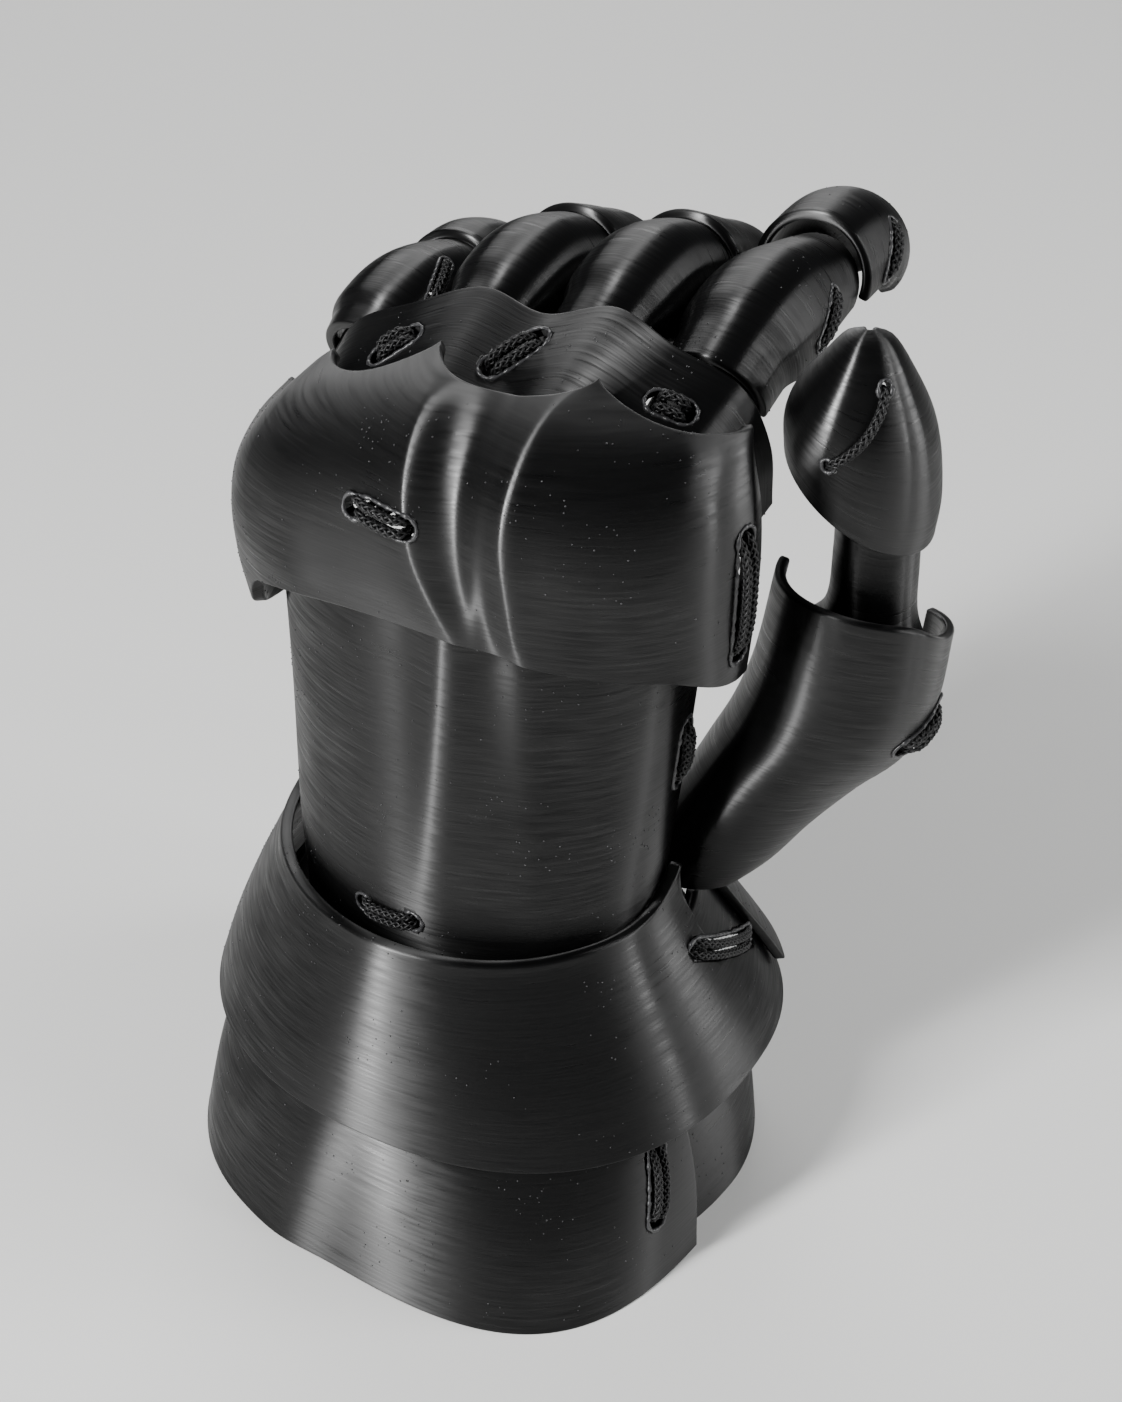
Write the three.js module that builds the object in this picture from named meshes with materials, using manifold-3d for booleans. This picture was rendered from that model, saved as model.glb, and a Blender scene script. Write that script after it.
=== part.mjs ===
// Left-hand plate gauntlet: curved printed plates tied with doubled cord, standing on its cuff.
// Millimetres, +Z up. The back of the hand faces -Y, the thumb is on +X, the fingers run to +Y.
// The plates are drawn about the wrist's middle line. The finished group is moved sideways, so its
// origin is on the floor under the middle of the whole gauntlet.
import * as THREE from "three";
import { mergeVertices } from "three/addons/utils/BufferGeometryUtils.js";
import Module from "manifold-3d";

// Walls, gaps and cord
const PLATE_WALL = 2.8;
const FINGER_WALL = 2.3;
const PLATE_GAP = 0.5;
const CORD_RADIUS = 1.5;
const CORD_CLEARANCE = 0.35;

// Cuff
const CUFF_HALF_WIDTH = 67;
const CUFF_BACK_DEPTH = 71.5;
const CUFF_PALM_DEPTH = 49;
const CUFF_TURN = -5;
const CUFF_SQUARE = 0.2;
const PALM_ROUND = 0.3;
const BELL_HALF_WIDTH = 66;
const BELL_BACK_DEPTH = 63;
const BELL_PALM_DEPTH = 51;
const BELL_HEIGHT = 38;
const WRIST_HALF_WIDTH = 47;
const WRIST_BACK_DEPTH = 43;
const WRIST_PALM_DEPTH = 38;
const WRIST_HEIGHT = 80;
const WRIST_SHIFT_X = -3;
const WRIST_SHIFT_Y = -4;
const CUFF_LAP_SHARE = 0.476;
const PALM_START = 0.117;
const HORN_HEIGHT = 7;
const HORN_STEP = 14;

// Back of the hand
const HAND_HALF_WIDTH = 47.5;
const HAND_HALF_DEPTH = 34;
const HAND_TUCK = 16;
const HAND_LAP = 8;

// Knuckle plate
const KNUCKLE_HALF_WIDTH = 58;
const KNUCKLE_DEPTH = 43;
const KNUCKLE_SHIFT_X = 1.5;
const KNUCKLE_SHIFT_Y = 5;
const KNUCKLE_RIM_HEIGHT = 159;
const KNUCKLE_CROWN_HEIGHT = 208;
const KNUCKLE_FLUTE = 2.4;
const SCALLOP = 0.13;

// Plate at the finger roots
const ROOT_HALF_WIDTH = 53;
const ROOT_SHIFT_X = 2.5;
const ROOT_LIFT = 2;
const ROOT_CROWN = KNUCKLE_CROWN_HEIGHT + ROOT_LIFT;
const ROOT_DROP_SHARE = 0.694;
const ROOT_DROP = ROOT_DROP_SHARE * (KNUCKLE_CROWN_HEIGHT - KNUCKLE_RIM_HEIGHT);
const ROOT_REACH_BACK = 17;
const ROOT_REACH_FRONT = 12;
const ROOT_SLOPE = 0.42;
const ROOT_BUMP = 2.2;
const ROOT_TAPER = 0.08;

// Fingers
const JOINT_REACH = 38;
const FINGER_RADIUS = 13;
const SLEEVE_RADIUS = 10.3;
const SLEEVE_LENGTH = 30;
const DOME_LENGTH = 41;
const CAP_LENGTH = 36;

// Thumb
const THUMB_RADIUS = 15.5;
const THUMB_SLEEVE_RADIUS = 8.8;
const THUMB_BASE_HALF_WIDTH = 19.5;
const THUMB_ROOT_X = 33;
const THUMB_ROOT_Y = 18;
const THUMB_LEAN_X = 37.5;
const THUMB_LEAN_Y = 9;
const THUMB_BASE_GAP = 0.35;
const THUMB_BASE_LOW = WRIST_HEIGHT + HORN_HEIGHT - HORN_STEP + THUMB_BASE_GAP;
const THUMB_BASE_HIGH = 157;
const THUMB_LENGTH = 57.5;

const RADIANS = Math.PI / 180;
const UP = new THREE.Vector3(0, 0, 1);
const wasm = await Module();
wasm.setup();

// Smooth value of a named column at a place along a table whose rows rise in "at"
function column(rows, at, name) {
  let i = 0;
  while (i < rows.length - 2 && at > rows[i + 1].at) i += 1;
  const a = rows[i];
  const b = rows[i + 1];
  const before = rows[Math.max(i - 1, 0)];
  const after = rows[Math.min(i + 2, rows.length - 1)];
  const span = b.at - a.at;
  const slopeA = before === a ? (b[name] - a[name]) / span : (b[name] - before[name]) / (b.at - before.at);
  const slopeB = after === b ? (b[name] - a[name]) / span : (after[name] - a[name]) / (after.at - a.at);
  const s = THREE.MathUtils.clamp((at - a.at) / span, 0, 1);
  const h00 = 2 * s ** 3 - 3 * s ** 2 + 1;
  const h10 = s ** 3 - 2 * s ** 2 + s;
  const h01 = 3 * s ** 2 - 2 * s ** 3;
  const h11 = s ** 3 - s ** 2;
  return h00 * a[name] + h10 * span * slopeA + h01 * b[name] + h11 * span * slopeB;
}

// Point of a rounded outline: 0 degrees is +X, 90 degrees is -Y, the palm side has its own depth
function outline(halfWidth, backDepth, palmDepth, power, degrees) {
  const c = Math.cos(degrees * RADIANS);
  const s = Math.sin(degrees * RADIANS);
  const reach = 1 / (Math.abs(c) ** power + Math.abs(s) ** power) ** (1 / power);
  return { x: halfWidth * reach * c, y: -(s > 0 ? backDepth : palmDepth) * reach * s };
}

// Outward direction of an outer surface, by differences
function outward(surface, u, v, centre) {
  const step = 0.004;
  const u0 = Math.max(u - step, 0);
  const u1 = Math.min(u + step, 1);
  const v0 = Math.max(v - step, 0);
  const v1 = Math.min(v + step, 1);
  const along = surface(u1, v).sub(surface(u0, v));
  const up = surface(u, v1).sub(surface(u, v0));
  const n = along.cross(up).normalize();
  const p = surface(u, v);
  return n.dot(p.sub(centre(v))) < 0 ? n.negate() : n;
}

// Closed shell between an outer surface and the same surface moved inward by the wall
function shell(piece) {
  const { us, vs, surface, wall, centre, level } = piece;
  const outer = [];
  const inner = [];
  for (const v of vs) {
    for (const u of us) {
      const p = surface(u, v);
      const n = outward(surface, u, v, centre);
      if (level) n.setZ(0).normalize();
      outer.push(p);
      inner.push(p.clone().addScaledVector(n, -wall));
    }
  }
  return closeShell(outer, inner, us.length, vs.length);
}

// Joins two grids of points into one closed body
function closeShell(outer, inner, columns, rows) {
  const points = [...outer, ...inner];
  const half = outer.length;
  const faces = [];
  const quad = (a, b, c, d) => faces.push([a, b, c], [a, c, d]);
  for (let j = 0; j < rows - 1; j += 1) {
    for (let i = 0; i < columns - 1; i += 1) {
      const a = j * columns + i;
      const b = a + 1;
      const c = a + columns + 1;
      const d = a + columns;
      quad(a, b, c, d);
      quad(half + a, half + d, half + c, half + b);
    }
  }
  for (let i = 0; i < columns - 1; i += 1) {
    const top = (rows - 1) * columns + i;
    quad(half + i, half + i + 1, i + 1, i);
    quad(top, top + 1, half + top + 1, half + top);
  }
  for (let j = 0; j < rows - 1; j += 1) {
    const left = j * columns;
    const right = left + columns - 1;
    quad(half + left + columns, half + left, left, left + columns);
    quad(right, half + right, half + right + columns, right + columns);
  }
  const geometry = new THREE.BufferGeometry();
  const numbers = points.flatMap((p) => [p.x, p.y, p.z]);
  geometry.setAttribute("position", new THREE.Float32BufferAttribute(numbers, 3));
  geometry.setIndex(faces.flat());
  return facingOut(welded(geometry));
}

// Geometry with shared corners and no flat triangles
function welded(geometry) {
  const bare = geometry.clone();
  bare.deleteAttribute("normal");
  bare.deleteAttribute("uv");
  const merged = mergeVertices(bare, 1e-4);
  const index = merged.getIndex().array;
  const kept = [];
  for (let i = 0; i < index.length; i += 3) {
    const [a, b, c] = [index[i], index[i + 1], index[i + 2]];
    if (a !== b && b !== c && a !== c) kept.push(a, b, c);
  }
  merged.setIndex(kept);
  return merged;
}

// Turns every face when the body's volume comes out negative
function facingOut(geometry) {
  const p = geometry.getAttribute("position");
  const index = Array.from(geometry.getIndex().array);
  const corner = (i) => new THREE.Vector3().fromBufferAttribute(p, i);
  let volume = 0;
  for (let i = 0; i < index.length; i += 3) {
    volume += corner(index[i]).dot(corner(index[i + 1]).cross(corner(index[i + 2])));
  }
  if (volume < 0) {
    for (let i = 0; i < index.length; i += 3) [index[i + 1], index[i + 2]] = [index[i + 2], index[i + 1]];
    geometry.setIndex(index);
  }
  return geometry;
}

// Solid for cutting, and back
function solid(geometry) {
  const g = welded(geometry);
  return new wasm.Manifold(new wasm.Mesh({
    numProp: 3,
    vertProperties: new Float32Array(g.getAttribute("position").array),
    triVerts: new Uint32Array(g.getIndex().array),
  }));
}

function geometryOf(body) {
  const mesh = body.getMesh();
  const g = new THREE.BufferGeometry();
  g.setAttribute("position", new THREE.Float32BufferAttribute(Array.from(mesh.vertProperties), 3));
  g.setIndex(Array.from(mesh.triVerts));
  return g;
}

// Evenly spaced shares from 0 to 1, with any extra ones put in
function shares(count, extra = []) {
  const list = [...extra];
  for (let i = 0; i <= count; i += 1) {
    const s = i / count;
    if (!extra.some((e) => Math.abs(e - s) < 0.3 / count) || i === 0 || i === count) list.push(s);
  }
  return [...new Set(list)].sort((a, b) => a - b);
}

// Surface of a plate that wraps round the arm: angles across, a section table upward
function wrapSurface(w) {
  return (u, v) => {
    const degrees = THREE.MathUtils.lerp(w.from, w.to, u);
    const s = THREE.MathUtils.lerp(w.start ?? 0, w.end ? w.end(degrees) : 1, v);
    const swell = (w.relief ? w.relief(degrees, s) : 0) - (w.inset ?? 0);
    const square = w.square ? w.square(Math.cos(degrees * RADIANS)) : 0;
    const edge = outline(
      w.halfWidth * column(w.sections, s, "width") + swell,
      w.backDepth * column(w.sections, s, "depth") + swell,
      (w.palmDepth ?? w.backDepth) * column(w.sections, s, w.palmDepth ? "palm" : "depth") + swell,
      column(w.sections, s, "power") * (1 + (1 - s) * square),
      degrees,
    );
    const low = w.low(degrees);
    const high = w.high(degrees);
    const z = THREE.MathUtils.lerp(low, high, column(w.sections, s, "rise"));
    const turn = (1 - s) * (w.turn ?? 0) * RADIANS;
    const turned = new THREE.Vector3(edge.x, edge.y, z).applyAxisAngle(UP, turn);
    turned.x += w.shiftX * column(w.sections, s, "shift");
    turned.y += w.shiftY * column(w.sections, s, "shift");
    return turned;
  };
}

// Share of a wrapped plate's width at an angle
function shareAt(w, degrees) {
  return (degrees - w.from) / (w.to - w.from);
}

// Value between the rows of a table of angles
function byAngle(rows, degrees, name) {
  const flipped = rows.map((r) => ({ ...r, at: r.angle }));
  const last = rows[rows.length - 1].angle;
  return column(flipped, THREE.MathUtils.clamp(degrees, rows[0].angle, last), name);
}

const pieces = {};

function wrapPlate(name, w, across, up, extra) {
  const surface = wrapSurface(w);
  const centre = (v) => {
    const s = column(w.sections, v, "shift");
    const high = surface(0.5, v).z - (w.sink ?? 0);
    return new THREE.Vector3(w.shiftX * s, w.shiftY * s + (w.heart ?? 0), high);
  };
  const us = shares(across, extra);
  pieces[name] = { surface, centre, wall: PLATE_WALL, us, vs: shares(up), level: w.level };
  return w;
}

// Lower cuff: widths and depths are shares of the cuff's, rises are shares of its height
const bellRise = WRIST_HEIGHT - BELL_HEIGHT;
const lowerCuffHigh = BELL_HEIGHT + CUFF_LAP_SHARE * bellRise;
const lowerCuffSections = [
  { at: 0, rise: 0, width: 1, depth: 1, palm: 1, power: 2.9, shift: 0 },
  { at: 0.35, rise: 0.35, width: 0.95, depth: 0.91, palm: 0.95, power: 2.7, shift: 0.1 },
  { at: 0.7, rise: 0.7, width: 0.86, depth: 0.765, palm: 0.88, power: 2.35, shift: 0.5 },
  { at: 1, rise: 1, width: 0.785, depth: 0.67, palm: 0.8, power: 2.2, shift: 0.8 },
];
const lowerCuff = {
  halfWidth: CUFF_HALF_WIDTH,
  backDepth: CUFF_BACK_DEPTH,
  palmDepth: CUFF_PALM_DEPTH,
  shiftX: WRIST_SHIFT_X,
  shiftY: WRIST_SHIFT_Y,
  sections: lowerCuffSections,
  low: () => 0,
  high: () => lowerCuffHigh,
  turn: CUFF_TURN,
  square: (across) => CUFF_SQUARE * across,
  level: true,
};
wrapPlate("cuff_lower_back", { ...lowerCuff, from: 170, to: 15 }, 18, 3);
wrapPlate("cuff_lower_palm", {
  ...lowerCuff,
  from: 384,
  to: 156,
  inset: PLATE_WALL + PLATE_GAP,
  square: (across) => (across < 0 ? CUFF_SQUARE : -PALM_ROUND) * across,
}, 16, 3);

// Upper cuff: a bell that is upright at the wrist and flares to the rim over the lower cuff
const upperCuffSections = [
  { at: 0, rise: 0, width: 1, depth: 1, palm: 1, power: 2.3, shift: 0 },
  { at: 0.3, rise: 0.3, width: 0.925, depth: 0.905, palm: 0.93, power: 2.2, shift: 0.4 },
  { at: 0.6, rise: 0.6, width: 0.83, depth: 0.8, palm: 0.85, power: 2.1, shift: 0.8 },
  { at: 0.8, rise: 0.8, width: 0.765, depth: 0.735, palm: 0.79, power: 2.05, shift: 0.95 },
  {
    at: 1, rise: 1, power: 2, shift: 1,
    width: WRIST_HALF_WIDTH / BELL_HALF_WIDTH,
    depth: WRIST_BACK_DEPTH / BELL_BACK_DEPTH,
    palm: WRIST_PALM_DEPTH / BELL_PALM_DEPTH,
  },
  { at: 1.2, rise: 1.2, width: 0.725, depth: 0.68, palm: 0.745, power: 2, shift: 1 },
];
// Height of the wrist rim above its middle: a horn at each side, then a step down behind it
const wristRim = [
  { angle: -7.5, horn: 1 },
  { angle: 8, horn: 0.1 },
  { angle: 40, horn: 0 },
  { angle: 90, horn: 0 },
];
function wristHeight(degrees) {
  const mirrored = degrees > 90 ? 180 - degrees : degrees;
  if (mirrored < -8.5) return WRIST_HEIGHT + HORN_HEIGHT - HORN_STEP;
  return WRIST_HEIGHT + HORN_HEIGHT * byAngle(wristRim, mirrored, "horn");
}
const upperCuff = {
  halfWidth: BELL_HALF_WIDTH,
  backDepth: BELL_BACK_DEPTH,
  palmDepth: BELL_PALM_DEPTH,
  shiftX: WRIST_SHIFT_X,
  shiftY: WRIST_SHIFT_Y,
  sections: upperCuffSections,
  low: () => BELL_HEIGHT,
  high: () => WRIST_HEIGHT,
  end: (degrees) => (wristHeight(degrees) - BELL_HEIGHT) / bellRise,
  level: true,
};
const upperBack = { ...upperCuff, from: 205, to: -42 };
wrapPlate("cuff_upper_back", upperBack, 20, 4, [
  shareAt(upperBack, 189), shareAt(upperBack, 188), shareAt(upperBack, -8), shareAt(upperBack, -9),
]);
wrapPlate("cuff_upper_palm", {
  ...upperCuff, from: 328, to: 194, inset: -(PLATE_WALL + PLATE_GAP),
  start: PALM_START,
  end: () => 1 - (HORN_STEP - HORN_HEIGHT) / bellRise,
}, 12, 3);

// Back of the hand, tucked into the wrist rim and under the knuckle plate
const handLow = WRIST_HEIGHT - HAND_TUCK;
const handSections = [
  { at: 0, rise: 0, width: 0.9, depth: 1.02, power: 2, shift: 1 },
  { at: 0.2, rise: 0.2, width: 0.92, depth: 1.03, power: 2, shift: 0.95 },
  { at: 0.55, rise: 0.55, width: 0.96, depth: 1, power: 2.1, shift: 0.5 },
  { at: 0.85, rise: 0.85, width: 0.985, depth: 0.96, power: 2.3, shift: 0.2 },
  { at: 1, rise: 1, width: 0.985, depth: 0.94, power: 2.4, shift: 0.1 },
];
// Two soft upright ridges: the angle that each follows, its spread in degrees, and its height as
// a share of the hand's half depth
const handRidges = [
  { angle: 102, width: 9, height: 0.032 },
  { angle: 76, width: 9, height: 0.032 },
];
wrapPlate("hand_back", {
  halfWidth: HAND_HALF_WIDTH,
  backDepth: HAND_HALF_DEPTH,
  shiftX: WRIST_SHIFT_X,
  shiftY: WRIST_SHIFT_Y,
  sections: handSections,
  from: 184,
  to: -10,
  low: () => handLow,
  high: () => KNUCKLE_RIM_HEIGHT + HAND_LAP,
  relief: (degrees, s) => handRidges.reduce(
    (sum, r) => sum + r.height * Math.exp(-(((degrees - r.angle) / r.width) ** 2)), 0) * s * HAND_HALF_DEPTH,
  level: true,
}, 18, 4);

// Knuckle plate: cusps between the fingers, at these angles. A cusp drops below the crown by a
// share of the plate's height, and the scallop after it is a share of the full scallop.
const cusps = [
  { angle: 196, drop: -0.7, scallop: 0.3 },
  { angle: 152.9, drop: -0.52, scallop: 0.5 },
  { angle: 127.7, drop: -0.245, scallop: 0.85 },
  { angle: 99, drop: -0.03, scallop: 1 },
  { angle: 63.3, drop: 0, scallop: 0.8 },
  { angle: 14, drop: -0.14, scallop: 0.2 },
  { angle: -6, drop: -0.33, scallop: 0 },
];
// Lower rim: how far it hangs below the rim's height, in shares of the plate's height
const knuckleHem = [
  { angle: -6, hang: 0.3 },
  { angle: 18, hang: 0.24 },
  { angle: 40, hang: 0.08 },
  { angle: 90, hang: 0 },
  { angle: 130, hang: 0.14 },
  { angle: 154, hang: 0.54 },
  { angle: 196, hang: 0.6 },
];
const knuckleHeight = KNUCKLE_CROWN_HEIGHT - KNUCKLE_RIM_HEIGHT;
function betweenCusps(degrees) {
  let i = 0;
  while (i < cusps.length - 2 && degrees < cusps[i + 1].angle) i += 1;
  const span = cusps[i].angle - cusps[i + 1].angle;
  const way = THREE.MathUtils.clamp((cusps[i].angle - degrees) / span, 0, 1);
  return { way, dip: Math.sin(Math.PI * way) ** 0.75, scallop: cusps[i].scallop };
}
const crownRows = [...cusps].reverse();
const knuckleSections = [
  { at: 0, rise: 0, width: 0.975, depth: 0.99, power: 2.9, shift: 1 },
  { at: 0.2, rise: 0.24, width: 0.995, depth: 1.03, power: 3, shift: 1 },
  { at: 0.45, rise: 0.53, width: 1.01, depth: 1.03, power: 3, shift: 1 },
  { at: 0.65, rise: 0.75, width: 1, depth: 0.93, power: 3, shift: 1 },
  { at: 0.82, rise: 0.91, width: 0.965, depth: 0.7, power: 2.8, shift: 1 },
  { at: 1, rise: 1, width: 0.93, depth: 0.3, power: 2.6, shift: 1 },
];
const knuckle = {
  halfWidth: KNUCKLE_HALF_WIDTH,
  backDepth: KNUCKLE_DEPTH,
  shiftX: KNUCKLE_SHIFT_X,
  shiftY: KNUCKLE_SHIFT_Y,
  sections: knuckleSections,
  from: 190,
  to: 7,
  sink: 0.7 * KNUCKLE_DEPTH,
  heart: 0.58 * KNUCKLE_DEPTH,
  low: (degrees) => KNUCKLE_RIM_HEIGHT - knuckleHeight * byAngle(knuckleHem, degrees, "hang"),
  high: (degrees) => KNUCKLE_CROWN_HEIGHT + knuckleHeight * byAngle(crownRows, degrees, "drop"),
  end: (degrees) => 1 - SCALLOP * betweenCusps(degrees).scallop * betweenCusps(degrees).dip,
  relief: (degrees, s) => -KNUCKLE_FLUTE * betweenCusps(degrees).dip * (0.35 + 0.65 * s),
};
wrapPlate("knuckle_plate", knuckle, 30, 7, cusps.slice(1, -1).map((c) => shareAt(knuckle, c.angle)));

// Plate at the finger roots: an arch across the hand, in shares of its half width and of its drop
const rootArch = [
  { at: 0, across: -0.9, down: 0.87, bump: 0 },
  { at: 0.1, across: -0.89, down: 0.7, bump: 0 },
  { at: 0.24, across: -0.76, down: 0.47, bump: 0.2 },
  { at: 0.32, across: -0.53, down: 0.26, bump: 0 },
  { at: 0.42, across: -0.24, down: 0.13, bump: 1 },
  { at: 0.52, across: 0.06, down: 0.07, bump: 0 },
  { at: 0.62, across: 0.33, down: 0.02, bump: 1 },
  { at: 0.72, across: 0.6, down: 0.07, bump: 0.1 },
  { at: 0.83, across: 0.87, down: 0.22, bump: 0 },
  { at: 0.92, across: 0.985, down: 0.55, bump: 0 },
  { at: 1, across: 1, down: 0.95, bump: 0 },
];
pieces.finger_root_plate = {
  surface: (u, v) => {
    const y = THREE.MathUtils.lerp(-ROOT_REACH_BACK, ROOT_REACH_FRONT, v);
    const bump = column(rootArch, u, "bump");
    const arch = ROOT_CROWN - ROOT_DROP * column(rootArch, u, "down");
    return new THREE.Vector3(
      ROOT_SHIFT_X + ROOT_HALF_WIDTH * (1 - ROOT_TAPER * (1 - v)) * column(rootArch, u, "across"),
      y - 0.25 * ROOT_REACH_FRONT * (1 - bump) * v * Math.sin(Math.PI * u),
      arch + ROOT_SLOPE * (y - ROOT_REACH_FRONT) + ROOT_BUMP * bump,
    );
  },
  centre: () => new THREE.Vector3(ROOT_SHIFT_X, 0, ROOT_CROWN - 1.6 * ROOT_DROP),
  wall: FINGER_WALL,
  us: shares(24),
  vs: shares(3),
};

// Finger lames: half tubes on a bent middle line. A station gives its place in the finger's
// plane, its radius as a share of the finger's, and the slope of its ring in degrees.
function lame(l) {
  const surface = (u, v) => {
    const degrees = THREE.MathUtils.lerp(180 + l.side, -l.side, u);
    const skew = (l.skew ?? 0) * Math.cos(degrees * RADIANS) * (1 - v);
    const s = THREE.MathUtils.clamp(v + skew, 0, 1);
    const along = column(l.stations, s, "y");
    const high = column(l.stations, s, "z");
    const lean = column(l.stations, s, "lean") * RADIANS;
    const r = Math.max(column(l.stations, s, "r"), 0) * l.radius;
    const rx = r * Math.cos(degrees * RADIANS);
    const ry = r * Math.sin(degrees * RADIANS);
    return new THREE.Vector3(l.x + rx, along + ry * Math.sin(lean), high + ry * Math.cos(lean));
  };
  const centre = (v) => new THREE.Vector3(
    l.x, column(l.stations, v, "y"), column(l.stations, v, "z") - 0.2 * l.radius);
  return { surface, centre, wall: l.wall ?? FINGER_WALL, us: shares(l.across), vs: shares(l.up, l.rows) };
}

// Each finger in shares: its place across of the knuckle plate's half width, the root plate's drop
// over it, its joint's reach, and how far the joint lies below that plate, of the finger's radius.
// The tip is its share of a dome's length beyond the joint, and of the radius below it. Then its
// size, how far its dome reaches before and behind the joint, how far its sleeve sinks under the
// root plate, how long the sleeve is, and how wide the cap's rear rim is.
const fingers = [
  {
    name: "index", across: 0.662, arch: 0.17, joint: 1, below: 0.325, tip: 1.0244, tipBelow: 0.077,
    size: 1.02, front: 1.2, rear: 1, sink: 0.32, sleeve: 0.88, rim: 1,
  },
  {
    name: "middle", across: 0.2, arch: 0.045, joint: 1, below: 0.69, tip: 0.927, tipBelow: 0.923,
    size: 0.99, front: 1, rear: 1, sink: 0, sleeve: 1, rim: 1.055,
  },
  {
    name: "ring", across: -0.2655, arch: 0.18, joint: 1, below: 0.76, tip: 0.829, tipBelow: 0.692,
    size: 0.99, front: 1, rear: 1, sink: 0, sleeve: 1, rim: 1.05,
  },
  {
    name: "pinky", across: -0.7103, arch: 0.6, joint: 0.7895, below: 0.43, tip: 0.805, tipBelow: 0.308,
    size: 0.97, front: 1, rear: 0.69, sink: 0.35, sleeve: 0.12, rim: 1.05,
  },
];
for (const f of fingers) {
  const x = KNUCKLE_HALF_WIDTH * f.across;
  const joint = { y: JOINT_REACH * f.joint, z: ROOT_CROWN - ROOT_DROP * f.arch - FINGER_RADIUS * f.below };
  const tip = { y: joint.y + DOME_LENGTH * f.tip, z: joint.z - FINGER_RADIUS * f.tipBelow };
  const thick = FINGER_RADIUS;
  const half = DOME_LENGTH / 2;
  const back = CAP_LENGTH / 2;
  const fall = (joint.z - tip.z) / (tip.y - joint.y);
  const rear = joint.y - half * f.rear;
  const sink = f.sink * thick;
  const length = SLEEVE_LENGTH * f.sleeve;
  const sleeveEnd = rear + 0.23 * thick;
  const sleeveHigh = joint.z - 0.346 * thick;
  const sleeveMiddle = sleeveHigh - 0.1 * length - 0.6 * sink;
  pieces[`${f.name}_sleeve`] = lame({
    x, radius: SLEEVE_RADIUS * f.size, side: 12, across: 8, up: 2,
    stations: [
      { at: 0, y: sleeveEnd - length, z: sleeveHigh - 0.32 * length - sink, r: 1, lean: -16 },
      { at: 0.6, y: sleeveEnd - 0.4 * length, z: sleeveMiddle, r: 0.97, lean: -14 },
      { at: 1, y: sleeveEnd, z: sleeveHigh - 0.2 * sink, r: 0.95, lean: -10 },
    ],
  });
  const frontFall = (0.0615 + 0.308 * fall) * thick;
  const end = { y: joint.y + half * f.front, z: joint.z - (0.169 + 0.538 * fall) * thick };
  pieces[`${f.name}_dome`] = lame({
    x, radius: thick * f.size, side: 14, across: 10, up: 5,
    stations: [
      { at: 0, y: rear, z: joint.z - 0.423 * thick * f.rear, r: 0.97, lean: -22 },
      { at: 0.3, y: joint.y - half * 0.45, z: joint.z - 0.123 * thick, r: 1.0, lean: -10 },
      { at: 0.6, y: joint.y + half * 0.2, z: joint.z, r: 1.0, lean: 4 },
      { at: 0.85, y: joint.y + half * 0.7, z: joint.z - frontFall, r: 0.9, lean: 18 },
      { at: 1, ...end, r: 0.79, lean: 26 },
    ],
  });
  const rim = Math.max(tip.y - back, end.y - 0.077 * thick);
  const rimHigh = f.rim > 1 ? end.z - (rim - end.y) * fall : tip.z + 0.1 * thick;
  pieces[`${f.name}_cap`] = lame({
    x, radius: thick * f.size, side: 13, across: 10, up: 5,
    stations: [
      { at: 0, y: rim, z: rimHigh, r: f.rim, lean: 10 },
      { at: 0.35, y: tip.y - back * 0.35, z: tip.z + 0.077 * thick, r: 1.01, lean: 24 },
      { at: 0.65, y: tip.y + back * 0.2, z: tip.z - 0.308 * thick, r: 0.93, lean: 42 },
      { at: 0.88, y: tip.y + back * 0.55, z: tip.z - 0.923 * thick, r: 0.6, lean: 60 },
      { at: 1, y: tip.y + back * 0.64, z: tip.z - 1.169 * thick, r: 0.34, lean: 66 },
    ],
  });
}

// Thumb: a funnel plate at its root, a sleeve and a dome over its end
const thumbBaseSections = [
  { at: 0, rise: 0, width: 0.7, depth: 0.62, power: 2, shift: 0.12 },
  { at: 0.1, rise: 0.1, width: 0.77, depth: 0.68, power: 2, shift: 0.25 },
  { at: 0.265, rise: 0.265, width: 0.81, depth: 0.74, power: 2, shift: 0.44 },
  { at: 0.43, rise: 0.43, width: 0.89, depth: 0.81, power: 2, shift: 0.64 },
  { at: 0.56, rise: 0.56, width: 0.98, depth: 0.87, power: 2, shift: 0.81 },
  { at: 0.73, rise: 0.73, width: 1, depth: 0.89, power: 2.1, shift: 0.93 },
  { at: 1, rise: 1, width: 0.95, depth: 0.87, power: 2.2, shift: 1 },
];
// How far the funnel's rim drops, as a share of its height
const thumbRim = [
  { angle: -60, drop: 0.167 },
  { angle: 0, drop: 0.108 },
  { angle: 40, drop: 0.024 },
  { angle: 90, drop: 0 },
  { angle: 172, drop: 0 },
];
const thumbRoot = new THREE.Vector3(THUMB_ROOT_X, THUMB_ROOT_Y, 0);
const thumbRise = new THREE.Vector3(THUMB_LEAN_X, THUMB_LEAN_Y, 0);
const thumbBaseHeight = THUMB_BASE_HIGH - THUMB_BASE_LOW;
const thumbBaseWrap = {
  halfWidth: THUMB_BASE_HALF_WIDTH,
  backDepth: THUMB_BASE_HALF_WIDTH,
  shiftX: thumbRise.x,
  shiftY: thumbRise.y,
  sections: thumbBaseSections,
  from: 172,
  to: -60,
  low: () => THUMB_BASE_LOW,
  high: (degrees) => THUMB_BASE_HIGH - thumbBaseHeight * byAngle(thumbRim, degrees, "drop"),
};
const thumbBaseSurface = wrapSurface(thumbBaseWrap);
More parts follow.
